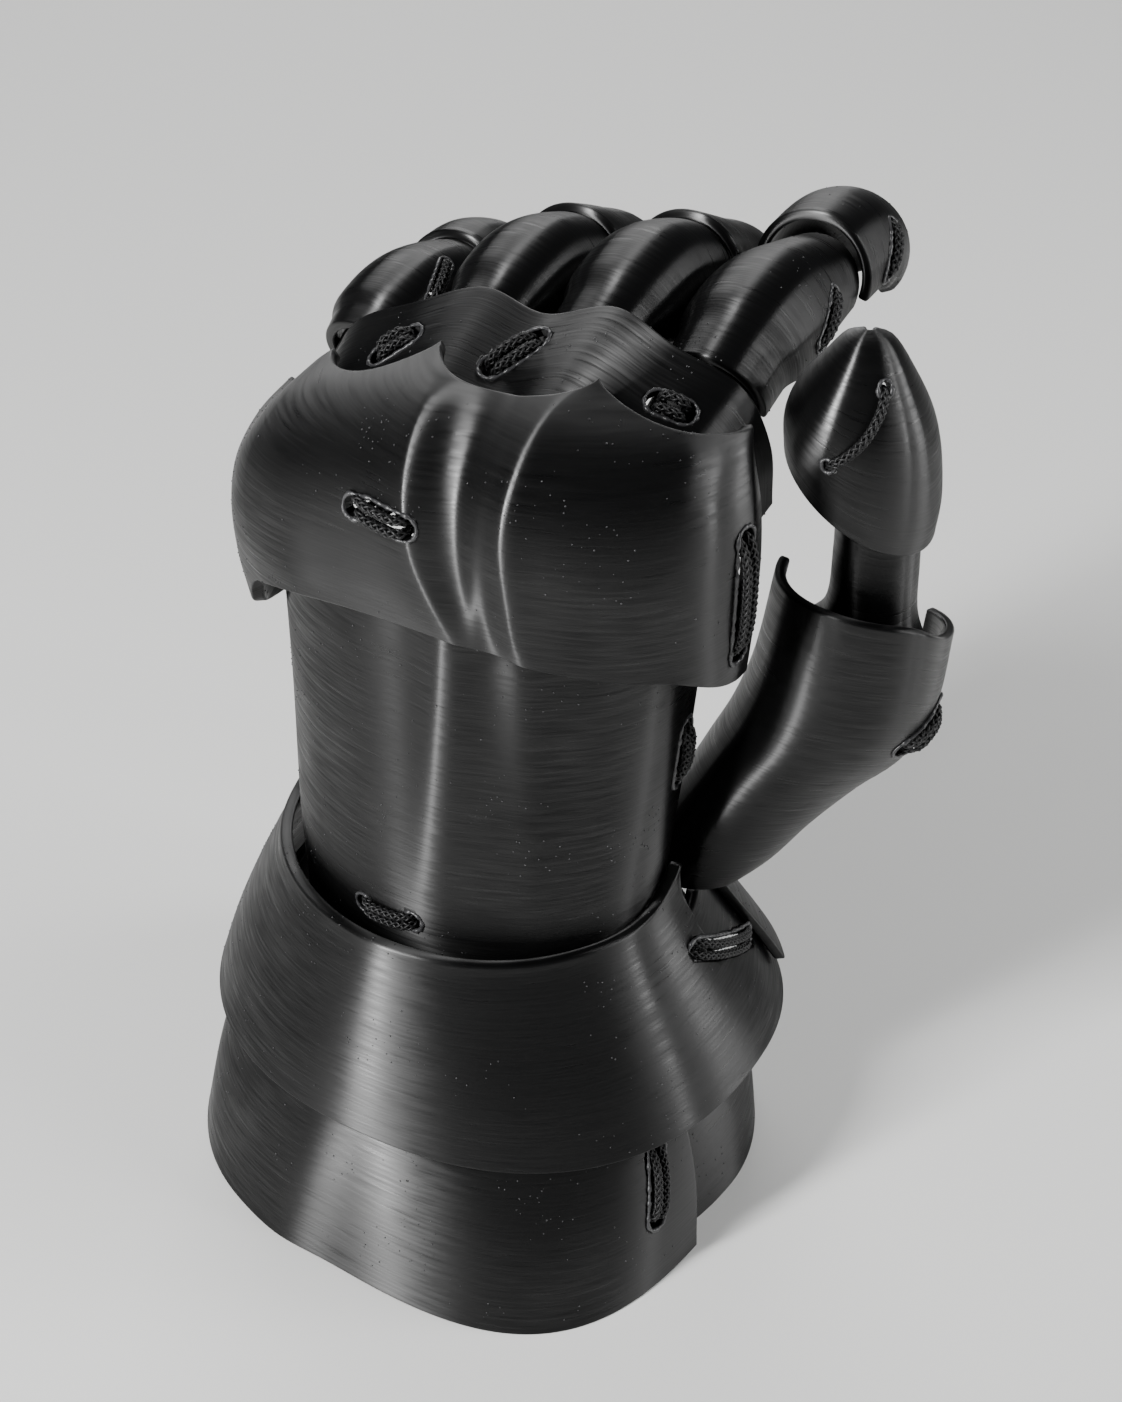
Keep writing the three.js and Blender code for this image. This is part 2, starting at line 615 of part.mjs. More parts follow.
pieces.thumb_base = {
  surface: (u, v) => thumbBaseSurface(u, v).add(thumbRoot),
  centre: (v) => thumbRoot.clone().addScaledVector(thumbRise, column(thumbBaseSections, v, "shift"))
    .setZ(THREE.MathUtils.lerp(THUMB_BASE_LOW, THUMB_BASE_HIGH, v)),
  wall: FINGER_WALL,
  us: shares(14),
  vs: shares(6),
};
// The thumb's plates stand on the funnel's middle line. A station's x, y and r are shares of the
// thumb's radius, and its rise above the funnel's rim is a share of the thumb's length.
const thumb = {
  x: THUMB_ROOT_X + THUMB_LEAN_X + 0.032 * THUMB_RADIUS,
  y: THUMB_ROOT_Y + THUMB_LEAN_Y - 0.0645 * THUMB_RADIUS,
};
function thumbLame(l) {
  const at = (v) => new THREE.Vector3(
    thumb.x + THUMB_RADIUS * column(l.stations, v, "x"),
    thumb.y + THUMB_RADIUS * column(l.stations, v, "y"),
    THUMB_BASE_HIGH + THUMB_LENGTH * column(l.stations, v, "rise"),
  );
  const surface = (u, v) => {
    const degrees = THREE.MathUtils.lerp(l.from, l.to, u);
    const r = Math.max(column(l.stations, v, "r"), 0) * l.radius;
    const c = Math.cos(degrees * RADIANS);
    const s = Math.sin(degrees * RADIANS);
    return at(v).add(new THREE.Vector3(r * c, -r * s, -column(l.stations, v, "tilt") * r * c));
  };
  const centre = (v) => at(v).add(new THREE.Vector3(0, 0.13 * THUMB_RADIUS, -0.19 * THUMB_RADIUS));
  return { surface, centre, wall: FINGER_WALL, us: shares(l.across), vs: shares(l.up, l.rows) };
}
pieces.thumb_sleeve = thumbLame({
  radius: THUMB_SLEEVE_RADIUS, from: 200, to: -40, across: 8, up: 3,
  stations: [
    { at: 0, x: -0.129, y: 0.084, rise: -0.313, r: 1.7, tilt: 0 },
    { at: 0.3, x: 0.032, y: 0.103, rise: -0.139, r: 1.1, tilt: 0 },
    { at: 0.6, x: 0.0645, y: 0.0645, rise: 0.087, r: 1, tilt: 0.1 },
    { at: 1, x: 0.0645, y: 0, rise: 0.365, r: 1, tilt: 0.2 },
  ],
});
pieces.thumb_dome = thumbLame({
  radius: THUMB_RADIUS, from: 172, to: -40, across: 12, up: 6, rows: [0.94],
  stations: [
    { at: 0, x: -0.1935, y: -0.0645, rise: 0.3826, r: 1.0, tilt: 0.6 },
    { at: 0.3, x: -0.161, y: -0.129, rise: 0.539, r: 1.02, tilt: 0.5 },
    { at: 0.6, x: -0.129, y: -0.1935, rise: 0.7304, r: 0.86, tilt: 0.3 },
    { at: 0.85, x: -0.161, y: -0.1935, rise: 0.9043, r: 0.5, tilt: 0.15 },
    { at: 0.94, x: -0.2065, y: -0.148, rise: 0.9774, r: 0.28, tilt: 0.05 },
    { at: 1, x: -0.226, y: -0.129, rise: 1, r: 0.05, tilt: 0 },
  ],
});

// Ties: each is a doubled cord that leaves one hole, lies on the plate and goes in at the other.
// Places are shares across and up the plate.
const ties = [
  { name: "tie_wrist", on: "hand_back", u1: 0.419, v1: 0.163, u2: 0.506, v2: 0.175 },
  { name: "tie_hand_edge", on: "hand_back", u1: 0.962, v1: 0.475, u2: 0.962, v2: 0.6 },
  { name: "tie_cuff_side", on: "cuff_upper_back", u1: 0.838, v1: 0.625, u2: 0.944, v2: 0.45 },
  { name: "tie_cuff_low", on: "cuff_lower_back", u1: 0.925, v1: 0.3, u2: 0.938, v2: 0.55 },
  { name: "tie_knuckle_face", on: "knuckle_plate", u1: 0.494, v1: 0.475, u2: 0.556, v2: 0.5 },
  { name: "tie_knuckle_side", on: "knuckle_plate", u1: 0.955, v1: 0.13, u2: 0.944, v2: 0.575 },
  { name: "tie_root_pinky", on: "finger_root_plate", u1: 0.313, v1: 0.537, u2: 0.35, v2: 0.65 },
  { name: "tie_root_ring", on: "finger_root_plate", u1: 0.494, v1: 0.463, u2: 0.531, v2: 0.762 },
  { name: "tie_root_middle", on: "finger_root_plate", u1: 0.744, v1: 0.588, u2: 0.781, v2: 0.613 },
  { name: "tie_index_dome", on: "index_dome", u1: 0.8, v1: 0.725, u2: 0.925, v2: 0.475 },
  { name: "tie_index_cap", on: "index_cap", u1: 0.75, v1: 0.375, u2: 0.955, v2: 0.24 },
  { name: "tie_pinky_dome", on: "pinky_dome", u1: 0.644, v1: 0.637, u2: 0.738, v2: 0.412 },
  { name: "tie_thumb_dome", on: "thumb_dome", u1: 0.594, v1: 0.82, u2: 0.369, v2: 0.412 },
  { name: "tie_thumb_base", on: "thumb_base", u1: 0.8, v1: 0.738, u2: 0.681, v2: 0.625 },
];
function tieCurve(tie) {
  const { surface, centre, wall } = pieces[tie.on];
  const off = CORD_RADIUS + CORD_CLEARANCE;
  const place = (s, lift) => {
    const u = THREE.MathUtils.lerp(tie.u1, tie.u2, s);
    const v = THREE.MathUtils.lerp(tie.v1, tie.v2, s);
    return surface(u, v).addScaledVector(outward(surface, u, v, centre), lift);
  };
  const inside = -(wall + off + 0.4);
  const route = [
    place(0.46, inside), place(0.22, inside), place(0.02, inside * 0.8),
    place(-0.02, -wall / 2),
    place(0.03, off * 0.7), place(0.2, off + 0.35), place(0.5, off + 0.5), place(0.8, off + 0.35),
    place(0.97, off * 0.7),
    place(1.02, -wall / 2),
    place(0.98, inside * 0.8), place(0.78, inside), place(0.54, inside),
  ];
  return new THREE.CatmullRomCurve3(route, false, "centripetal");
}
function cordTube(curve, radius, sides, steps) {
  const ring = new THREE.Shape();
  for (let i = 0; i < sides; i += 1) {
    const a = (2 * Math.PI * i) / sides;
    if (i === 0) ring.moveTo(radius * Math.cos(a), radius * Math.sin(a));
    else ring.lineTo(radius * Math.cos(a), radius * Math.sin(a));
  }
  ring.closePath();
  return new THREE.ExtrudeGeometry(ring, { steps, extrudePath: curve, bevelEnabled: false, curveSegments: 1 });
}

// Looks of the two materials
const plastic = () => new THREE.MeshStandardMaterial({ color: 0x1b1b1d, roughness: 0.36, metalness: 0.1 });
const braid = () => new THREE.MeshStandardMaterial({ color: 0x0d0d0e, roughness: 0.85, metalness: 0 });

const gauntlet = new THREE.Group();
gauntlet.name = "plate_gauntlet";
const bodies = {};
for (const [name, piece] of Object.entries(pieces)) bodies[name] = solid(shell(piece));
for (const tie of ties) {
  const curve = tieCurve(tie);
  const room = solid(facingOut(welded(cordTube(curve, CORD_RADIUS + CORD_CLEARANCE, 6, 14))));
  for (const name of Object.keys(bodies)) {
    const cut = bodies[name].subtract(room);
    if (cut.volume() < bodies[name].volume() - 0.01) bodies[name] = cut;
  }
  const cord = new THREE.Mesh(facingOut(welded(cordTube(curve, CORD_RADIUS, 5, 14))), braid());
  cord.name = tie.name;
  gauntlet.add(cord);
}
for (const [name, body] of Object.entries(bodies)) {
  const mesh = new THREE.Mesh(geometryOf(body), plastic());
  mesh.name = name;
  gauntlet.add(mesh);
}
const middle = new THREE.Box3().setFromObject(gauntlet).getCenter(new THREE.Vector3());
gauntlet.position.set(-middle.x, -middle.y, 0);

export default gauntlet;
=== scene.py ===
# %% [markdown]
# # A plate gauntlet, from frame to finish
# The real object is a left-hand gauntlet. Its plates are printed in black plastic and laced together
# with thin braided cord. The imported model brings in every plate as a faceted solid, so the first step
# is to load it as a fixed frame. Everything after this is built around it, in metres.

# %% Load the frame
import math

import bmesh
import bpy
import numpy as np
from mathutils import Matrix, Vector


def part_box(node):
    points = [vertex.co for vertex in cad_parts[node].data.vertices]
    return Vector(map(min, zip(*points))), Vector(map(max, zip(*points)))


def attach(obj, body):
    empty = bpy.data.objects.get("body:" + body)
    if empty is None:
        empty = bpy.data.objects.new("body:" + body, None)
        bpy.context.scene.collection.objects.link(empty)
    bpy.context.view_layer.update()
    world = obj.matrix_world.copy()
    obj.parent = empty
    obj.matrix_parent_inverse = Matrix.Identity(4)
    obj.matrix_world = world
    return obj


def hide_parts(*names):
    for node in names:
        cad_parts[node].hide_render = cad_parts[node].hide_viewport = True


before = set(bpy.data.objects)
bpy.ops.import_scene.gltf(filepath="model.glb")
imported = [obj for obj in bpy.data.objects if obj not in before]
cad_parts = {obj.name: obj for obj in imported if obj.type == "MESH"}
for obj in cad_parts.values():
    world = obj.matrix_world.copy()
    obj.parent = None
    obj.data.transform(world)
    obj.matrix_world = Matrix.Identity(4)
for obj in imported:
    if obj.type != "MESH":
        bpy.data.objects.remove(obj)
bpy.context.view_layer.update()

# %% [markdown]
# The plates are smooth curved sheets, and a faceted solid shows its corners in glossy black plastic.
# A subdivided copy would round off the sharp cusps. Each plate follows a short rule instead: a table
# of widths and depths from its lower rim to its upper rim. So the same rule is sampled here much more
# finely. These are the sizes that the rules share, in millimetres.

# %% Sizes that the plates share
PLATE_WALL = 2.8
FINGER_WALL = 2.3
GAP = 0.5
CUFF_HALF_WIDTH, CUFF_BACK, CUFF_PALM = 67, 71.5, 49
CUFF_TURN, CUFF_SQUARE, PALM_ROUND = -5, 0.2, 0.3
BELL_HALF_WIDTH, BELL_BACK, BELL_PALM, BELL_HEIGHT = 66, 63, 51, 38
WRIST_HALF_WIDTH, WRIST_BACK, WRIST_PALM, WRIST_HEIGHT = 47, 43, 38, 80
WRIST_SHIFT = (-3, -4)
CUFF_LAP, HORN_HEIGHT, HORN_STEP, PALM_START = 0.476, 7, 14, 0.117
BELL_RISE = WRIST_HEIGHT - BELL_HEIGHT
HAND_HALF_WIDTH, HAND_DEPTH, HAND_TUCK = 47.5, 34, 16
KNUCKLE_HALF_WIDTH, KNUCKLE_DEPTH, KNUCKLE_SHIFT = 58, 43, (1.5, 5)
KNUCKLE_RIM, KNUCKLE_CROWN, FLUTE, SCALLOP = 159, 208, 2.4, 0.13
ROOT_HALF_WIDTH, ROOT_SHIFT, ROOT_CROWN = 53, 2.5, KNUCKLE_CROWN + 2
ROOT_DROP = 0.694 * (KNUCKLE_CROWN - KNUCKLE_RIM)
ROOT_BACK, ROOT_FRONT, ROOT_SLOPE, ROOT_BUMP, ROOT_TAPER = 17, 12, 0.42, 2.2, 0.08
JOINT_REACH, FINGER_RADIUS, SLEEVE_RADIUS = 38, 13, 10.3
SLEEVE_LENGTH, DOME_LENGTH, CAP_LENGTH = 30, 41, 36
THUMB_RADIUS, THUMB_SLEEVE_RADIUS, THUMB_BASE_HALF_WIDTH, THUMB_LENGTH = 15.5, 8.8, 19.5, 57.5
THUMB_ROOT, THUMB_LEAN = (33, 18), (37.5, 9)
THUMB_BASE_LOW, THUMB_BASE_HIGH = WRIST_HEIGHT + HORN_HEIGHT - HORN_STEP + 0.35, 157
HAND_UNDER_KNUCKLE = 8
CORD_RADIUS = 1.1
print("knuckle plate:", 2 * KNUCKLE_HALF_WIDTH, "mm wide, cuff:", 2 * CUFF_HALF_WIDTH, "mm wide")

# %% [markdown]
# A table with a few rows should give a flowing line, not a bent one. A cubic between neighbouring
# rows does that, with its slope taken from the rows on both sides, so the curve passes through each
# row and never kinks. The plates' outlines are superellipses: a power of 2 is an ellipse and a higher
# power squares its corners, as on the cuff.


# %% Smooth tables and rounded outlines
def column(rows, at, name):
    x = np.array([r["at"] for r in rows], float)
    y = np.array([r[name] for r in rows], float)
    slope = np.gradient(y, x)
    slope[1:-1] = (y[2:] - y[:-2]) / (x[2:] - x[:-2])
    slope[0] = (y[1] - y[0]) / (x[1] - x[0])
    slope[-1] = (y[-1] - y[-2]) / (x[-1] - x[-2])
    at = np.asarray(at, float)
    i = np.clip(np.searchsorted(x, at, side="left") - 1, 0, len(x) - 2)
    span = x[i + 1] - x[i]
    s = np.clip((at - x[i]) / span, 0, 1)
    rise = (2 * s**3 - 3 * s**2 + 1) * y[i] + (3 * s**2 - 2 * s**3) * y[i + 1]
    return rise + span * ((s**3 - 2 * s**2 + s) * slope[i] + (s**3 - s**2) * slope[i + 1])


def table(names, *rows):
    return [dict(zip(names.split(), r)) for r in rows]


def by_angle(rows, degrees, name):
    flat = [dict(r, at=r["angle"]) for r in rows]
    return column(flat, np.clip(degrees, rows[0]["angle"], rows[-1]["angle"]), name)


def outline(half_width, back, palm, power, degrees):
    c, s = np.cos(np.radians(degrees)), np.sin(np.radians(degrees))
    reach = 1 / (np.abs(c) ** power + np.abs(s) ** power) ** (1 / power)
    return half_width * reach * c, -np.where(s > 0, back, palm) * reach * s


corner = float(outline(1, 1, 1, 2.9, 45)[0])
print("at its corner a power of 2.9 reaches", round(corner, 3), "and a circle 0.707")

# %% [markdown]
# Cuff, hand and knuckle plates all wrap round the arm. One function turns a plate's table into a
# surface: an angle picks the place round the arm and a share picks the height between its two rims.


# %% A plate that wraps round the arm
def wrap_point(w, degrees, s, plain=False):
    sections = w["sections"]
    swell = (w["relief"](degrees, s) if w.get("relief") and not plain else 0) - w.get("inset", 0)
    palm = w.get("palm", w["back"]) * column(sections, s, "palm" if "palm" in w else "depth")
    square = w["square"](np.cos(np.radians(degrees))) if w.get("square") else 0
    x, y = outline(
        w["half_width"] * column(sections, s, "width") + swell,
        w["back"] * column(sections, s, "depth") + swell,
        palm + swell,
        column(sections, s, "power") * (1 + (1 - s) * square),
        degrees,
    )
    low, high = w["low"](degrees), w["high"](degrees)
    z = low + (high - low) * column(sections, s, "rise")
    turn = np.radians((1 - s) * w.get("turn", 0))
    shift = column(sections, s, "shift")
    x, y = x * np.cos(turn) - y * np.sin(turn), x * np.sin(turn) + y * np.cos(turn)
    return np.stack([x + w["shift"][0] * shift, y + w["shift"][1] * shift, z + 0 * x], -1)


def wrap_surface(w):
    def place(u, v):
        degrees = w["from"] + (w["to"] - w["from"]) * u
        start = w.get("start", 0)
        end = w["end"](degrees) if w.get("end") else 1
        return degrees, start + (end - start) * v

    def surface(u, v):
        return wrap_point(w, *place(u, v))

    def normal(u, v):
        degrees, s = place(u, v)
        step, rise = w.get("ease", 1.0), 0.02
        around = wrap_point(w, degrees + step, s, True) - wrap_point(w, degrees - step, s, True)
        up = wrap_point(w, degrees, s + rise, True) - wrap_point(w, degrees, s - rise, True)
        n = np.cross(up, around)
        if w.get("level"):
            n[..., 2] = 0
        return n / np.linalg.norm(n, axis=-1, keepdims=True)

    return {"surface": surface, "normal": normal, "wrap": w}


def share_at(w, degrees):
    return (degrees - w["from"]) / (w["to"] - w["from"])


plates = {}

# %% [markdown]
# The cuff is two rings of two plates each. The lower ring splays out to the rim that the gauntlet
# stands on, and the upper ring is a bell that stands upright at the wrist and laps over it. A horn
# rises beside the thumb, with a step down behind it for the thumb's funnel.

# %% Cuff plates
lower_sections = table(
    "at rise width depth palm power shift",
    (0, 0, 1, 1, 1, 2.9, 0),
    (0.35, 0.35, 0.95, 0.91, 0.95, 2.7, 0.1),
    (0.7, 0.7, 0.86, 0.765, 0.88, 2.35, 0.5),
    (1, 1, 0.785, 0.67, 0.8, 2.2, 0.8),
)
lower_cuff = {
    "half_width": CUFF_HALF_WIDTH, "back": CUFF_BACK, "palm": CUFF_PALM, "shift": WRIST_SHIFT,
    "sections": lower_sections, "low": lambda a: 0 * a,
    "high": lambda a: BELL_HEIGHT + CUFF_LAP * BELL_RISE + 0 * a,
    "turn": CUFF_TURN, "square": lambda c: CUFF_SQUARE * c, "level": True,
}
SWELL_ANGLE, SWELL_WIDTH, SWELL_HEIGHT = 101, 8, 0.8


def cuff_relief(a, s):
    return SWELL_HEIGHT * np.exp(-(((a - SWELL_ANGLE) / SWELL_WIDTH) ** 2)) * (1 - s)


plates["cuff_lower_back"] = wrap_surface({**lower_cuff, "from": 170, "to": 15, "relief": cuff_relief})
plates["cuff_lower_palm"] = wrap_surface({
    **lower_cuff, "from": 384, "to": 156, "inset": PLATE_WALL + GAP,
    "square": lambda c: np.where(c < 0, CUFF_SQUARE, -PALM_ROUND) * c,
})
upper_sections = table(
    "at rise width depth palm power shift",
    (0, 0, 1, 1, 1, 2.3, 0),
    (0.3, 0.3, 0.925, 0.905, 0.93, 2.2, 0.4),
    (0.6, 0.6, 0.83, 0.8, 0.85, 2.1, 0.8),
    (0.8, 0.8, 0.765, 0.735, 0.79, 2.05, 0.95),
    (1, 1, WRIST_HALF_WIDTH / BELL_HALF_WIDTH, WRIST_BACK / BELL_BACK, WRIST_PALM / BELL_PALM, 2, 1),
    (1.2, 1.2, 0.725, 0.68, 0.745, 2, 1),
)
horn_rows = table("angle horn", (-7.5, 1), (8, 0.1), (40, 0), (90, 0))


def wrist_height(degrees):
    mirrored = np.where(degrees > 90, 180 - degrees, degrees)
    rise = WRIST_HEIGHT + HORN_HEIGHT * by_angle(horn_rows, mirrored, "horn")
    fall = np.clip((-8 - mirrored) / 1.2, 0, 1)
    return rise - HORN_STEP * fall * fall * (3 - 2 * fall)


upper_cuff = {
    "half_width": BELL_HALF_WIDTH, "back": BELL_BACK, "palm": BELL_PALM, "shift": WRIST_SHIFT,
    "sections": upper_sections,
    "low": lambda a: BELL_HEIGHT + 0 * a, "high": lambda a: WRIST_HEIGHT + 0 * a,
    "end": lambda a: (wrist_height(a) - BELL_HEIGHT) / BELL_RISE, "level": True,
}
plates["cuff_upper_back"] = wrap_surface({**upper_cuff, "from": 205, "to": -42})
plates["cuff_upper_palm"] = wrap_surface({
    **upper_cuff, "from": 328, "to": 194, "inset": -(PLATE_WALL + GAP), "start": PALM_START,
    "end": lambda a: 1 - (HORN_STEP - HORN_HEIGHT) / BELL_RISE + 0 * a,
})
step_angles = (189.3, 188.9, 188.6, 188.3, 187.9, -7.9, -8.3, -8.6, -8.9, -9.3)
plates["cuff_upper_back"]["keep"] = [share_at(plates["cuff_upper_back"]["wrap"], a) for a in step_angles]
print("cuff plates:", len(plates))

# %% [markdown]
# The back of the hand is one plate with two soft upright ridges. The knuckle plate is the showpiece:
# its rim has cusps between the fingers, a scallop hangs between each two, and a hollow flute runs
# down from each scallop, so the cusps continue as crisp crests that catch the light. The two middle
# crests swing to one side on their way down, so a table gives each crest's angle by height.

# %% Hand and knuckle plates
hand_sections = table(
    "at rise width depth power shift",
    (0, 0, 0.9, 1.02, 2, 1),
    (0.2, 0.2, 0.92, 1.03, 2, 0.95),
    (0.55, 0.55, 0.96, 1, 2.1, 0.5),
    (0.85, 0.85, 0.985, 0.96, 2.3, 0.2),
    (1, 1, 0.985, 0.94, 2.4, 0.1),
)
hand_ridges = table(
    "angle swing width height", (106, 0, 9, 0.25), (79, 1, 7.5, 2.0), (46, 16, 6, 1.35))


def hand_relief(a, s):
    away = [(a - r["angle"] - r["swing"] * s) / r["width"] for r in hand_ridges]
    return s * sum(r["height"] * np.exp(-(x**2)) for r, x in zip(hand_ridges, away))


plates["hand_back"] = wrap_surface({
    "half_width": HAND_HALF_WIDTH, "back": HAND_DEPTH, "shift": WRIST_SHIFT, "sections": hand_sections,
    "from": 184, "to": -10, "low": lambda a: WRIST_HEIGHT - HAND_TUCK + 0 * a,
    "high": lambda a: KNUCKLE_RIM + HAND_UNDER_KNUCKLE + 0 * a, "level": True,
    "relief": hand_relief,
})
cusps = table(
    "angle drop scallop",
    (196, -0.7, 0.3), (152.9, -0.52, 0.5), (127.7, -0.245, 0.85), (99, -0.03, 1),
    (63.3, 0, 0.8), (14, -0.14, 0.2), (-6, -0.33, 0),
)
knuckle_hem = table(
    "angle hang", (-6, 0.3), (18, 0.24), (40, 0.08), (90, 0), (130, 0.14), (154, 0.54), (196, 0.6))
knuckle_height = KNUCKLE_CROWN - KNUCKLE_RIM


def between_cusps(degrees):
    angles = np.array([c["angle"] for c in cusps], float)
    scallops = np.array([c["scallop"] for c in cusps], float)
    degrees = np.asarray(degrees, float)
    i = np.clip(np.searchsorted(-angles, -degrees, side="left") - 1, 0, len(angles) - 2)
    way = np.clip((angles[i] - degrees) / (angles[i] - angles[i + 1]), 0, 1)
    return np.sin(np.pi * way) ** 0.75, scallops[i]


def knuckle_end(degrees):
    dip, scallop = between_cusps(degrees)
    return 1 - SCALLOP * scallop * dip


knuckle_sections = table(
    "at rise width depth power shift",
    (0, 0, 0.975, 0.99, 2.9, 1),
    (0.2, 0.24, 0.995, 1.03, 3, 1),
    (0.45, 0.53, 1.01, 1.03, 3, 1),
    (0.65, 0.75, 1, 0.93, 3, 1),
    (0.82, 0.91, 0.965, 0.7, 2.8, 1),
    (1, 1, 0.93, 0.3, 2.6, 1),
)
# The angle of each crest, from the lower rim to the crown
crests = table(
    "at first second third left",
    (0, 79.1, 74.5, 65.0, 117), (0.1, 81.3, 74.5, 66.3, 117), (0.3, 85.9, 74.5, 67.6, 117),
    (0.5, 88.3, 74.5, 68.9, 118), (0.7, 90.6, 74.5, 68.9, 120), (0.9, 94.2, 74.6, 67.2, 124),
    (1, 99, 75, 63.3, 127.7),
)
crest_shapes = table(
    "name width height",
    ("first", 5, 0.55), ("second", 2.4, 0.45), ("third", 4.4, 0.6), ("left", 6, 0.4),
)
HOLLOW_DEPTH, CREST_POWER = 0.95, 1.9


def unswing(a, s):
    """Moves an angle so that the lines of the first and third crest fall on their cusps' angles."""
    left, first, third, right = (cusps[k]["angle"] for k in (2, 3, 4, 5))
    one, three = column(crests, s, "first"), column(crests, s, "third")
    beyond = first + (a - one) * (left - first) / (left - one)
    between = third + (a - three) * (first - third) / (one - three)
    before = third + (a - three) * (third - right) / (three - right)
    moved = np.where(a > one, beyond, np.where(a > three, between, before))
    return np.where((a > left) | (a < right), a, moved)


def knuckle_relief(a, s):
    """Flutes under the scallops, a hollow between the first and third crest, and the crests."""
    dip = between_cusps(unswing(a, s))[0]
    swell = -FLUTE * dip**2 * (0.25 + 0.75 * s**2)
    first, third = column(crests, s, "first"), column(crests, s, "third")
    way = np.clip((first - a) / (first - third), 0, 1)
    swell = swell - HOLLOW_DEPTH * np.sin(np.pi * way) * np.minimum(1, 4 * s + 0.35)
    for c in crest_shapes:
        away = np.abs(a - column(crests, s, c["name"])) / c["width"]
        swell = swell + c["height"] * np.exp(-(away**CREST_POWER)) * np.minimum(1, 6 * s + 0.3)
    return swell


knuckle = {
    "half_width": KNUCKLE_HALF_WIDTH, "back": KNUCKLE_DEPTH, "shift": KNUCKLE_SHIFT,
    "sections": knuckle_sections, "from": 190, "to": 7,
    "low": lambda a: KNUCKLE_RIM - knuckle_height * by_angle(knuckle_hem, a, "hang"),
    "high": lambda a: KNUCKLE_CROWN + knuckle_height * by_angle(cusps[::-1], a, "drop"),
    "end": knuckle_end,
    "relief": knuckle_relief,
}
plates["knuckle_plate"] = wrap_surface(knuckle)
plates["knuckle_plate"]["keep"] = [share_at(knuckle, c["angle"]) for c in cusps[1:-1]]
print("cusps on the knuckle plate:", len(cusps) - 2)

# %% [markdown]
# The plate at the finger roots is an arch across the hand that comes out under the cusps, with a low
# bump over each of the two middle fingers. Fingers and thumb are half tubes on a bent middle line.
# Their tables give the line, the radius and the lean of each ring, so one function serves them all.


# %% Finger root plate
root_arch = table(
    "at across down bump",
    (0, -0.9, 0.87, 0), (0.1, -0.89, 0.7, 0), (0.24, -0.76, 0.47, 0.2), (0.32, -0.53, 0.26, 0),
    (0.42, -0.24, 0.13, 1), (0.52, 0.06, 0.07, 0), (0.62, 0.33, 0.02, 1), (0.72, 0.6, 0.07, 0.1),
    (0.83, 0.87, 0.22, 0), (0.92, 0.985, 0.55, 0), (1, 1, 0.95, 0),
)


def by_steps(surface, away):
    """Outward direction of a surface, by small steps; away gives the line it faces away from."""

    def normal(u, v):
        step = 0.004
        across = surface(np.minimum(u + step, 1), v) - surface(np.maximum(u - step, 0), v)
        up = surface(u, np.minimum(v + step, 1)) - surface(u, np.maximum(v - step, 0))
        n = np.cross(across, up)
        n /= np.linalg.norm(n, axis=-1, keepdims=True)
        facing = np.sum(n * (surface(u, v) - away(v)), -1, keepdims=True)
        return np.where(facing < 0, -n, n)

    return {"surface": surface, "normal": normal}


def root_surface(u, v):
    y = -ROOT_BACK + (ROOT_FRONT + ROOT_BACK) * v
    bump = column(root_arch, u, "bump")
    x = ROOT_SHIFT + ROOT_HALF_WIDTH * (1 - ROOT_TAPER * (1 - v)) * column(root_arch, u, "across")
    z = ROOT_CROWN - ROOT_DROP * column(root_arch, u, "down") + ROOT_SLOPE * (y - ROOT_FRONT)
    z = z + ROOT_BUMP * bump
    return np.stack([x, y - 3 * (1 - bump) * v * np.sin(np.pi * u), z], -1)


under_the_arch = np.array([ROOT_SHIFT, 0, ROOT_CROWN - ROOT_DROP - 20.0])
plates["finger_root_plate"] = by_steps(root_surface, lambda v: under_the_arch)
print("finger root plate:", 2 * ROOT_HALF_WIDTH, "mm across")


# %% Finger plates
def lame(x, radius, side, stations, neck=0.0):
    """A half tube over a finger. It wraps side degrees past half, and neck waists its rear."""

    def surface(u, v):
        degrees = np.radians(180 + side - (180 + 2 * side) * u)
        along, high = column(stations, v, "y"), column(stations, v, "z")
        lean = np.radians(column(stations, v, "lean"))
        bulge = np.clip((v - 0.2) / 0.13, 0, 1)
        waist = 1 - neck * (1 - bulge * bulge * (3 - 2 * bulge))
        waist = waist + 0.5 * neck * np.exp(-(((v - 0.48) / 0.17) ** 2))
        r = np.maximum(column(stations, v, "r"), 0) * radius * waist
        rx, ry = r * np.cos(degrees), r * np.sin(degrees)
        return np.stack([x + rx, along + ry * np.sin(lean), high + ry * np.cos(lean)], -1)

    def away(v):
        line = [x + 0 * v, column(stations, v, "y"), column(stations, v, "z") - 0.2 * radius]
        return np.stack(line, -1)

    return by_steps(surface, away)


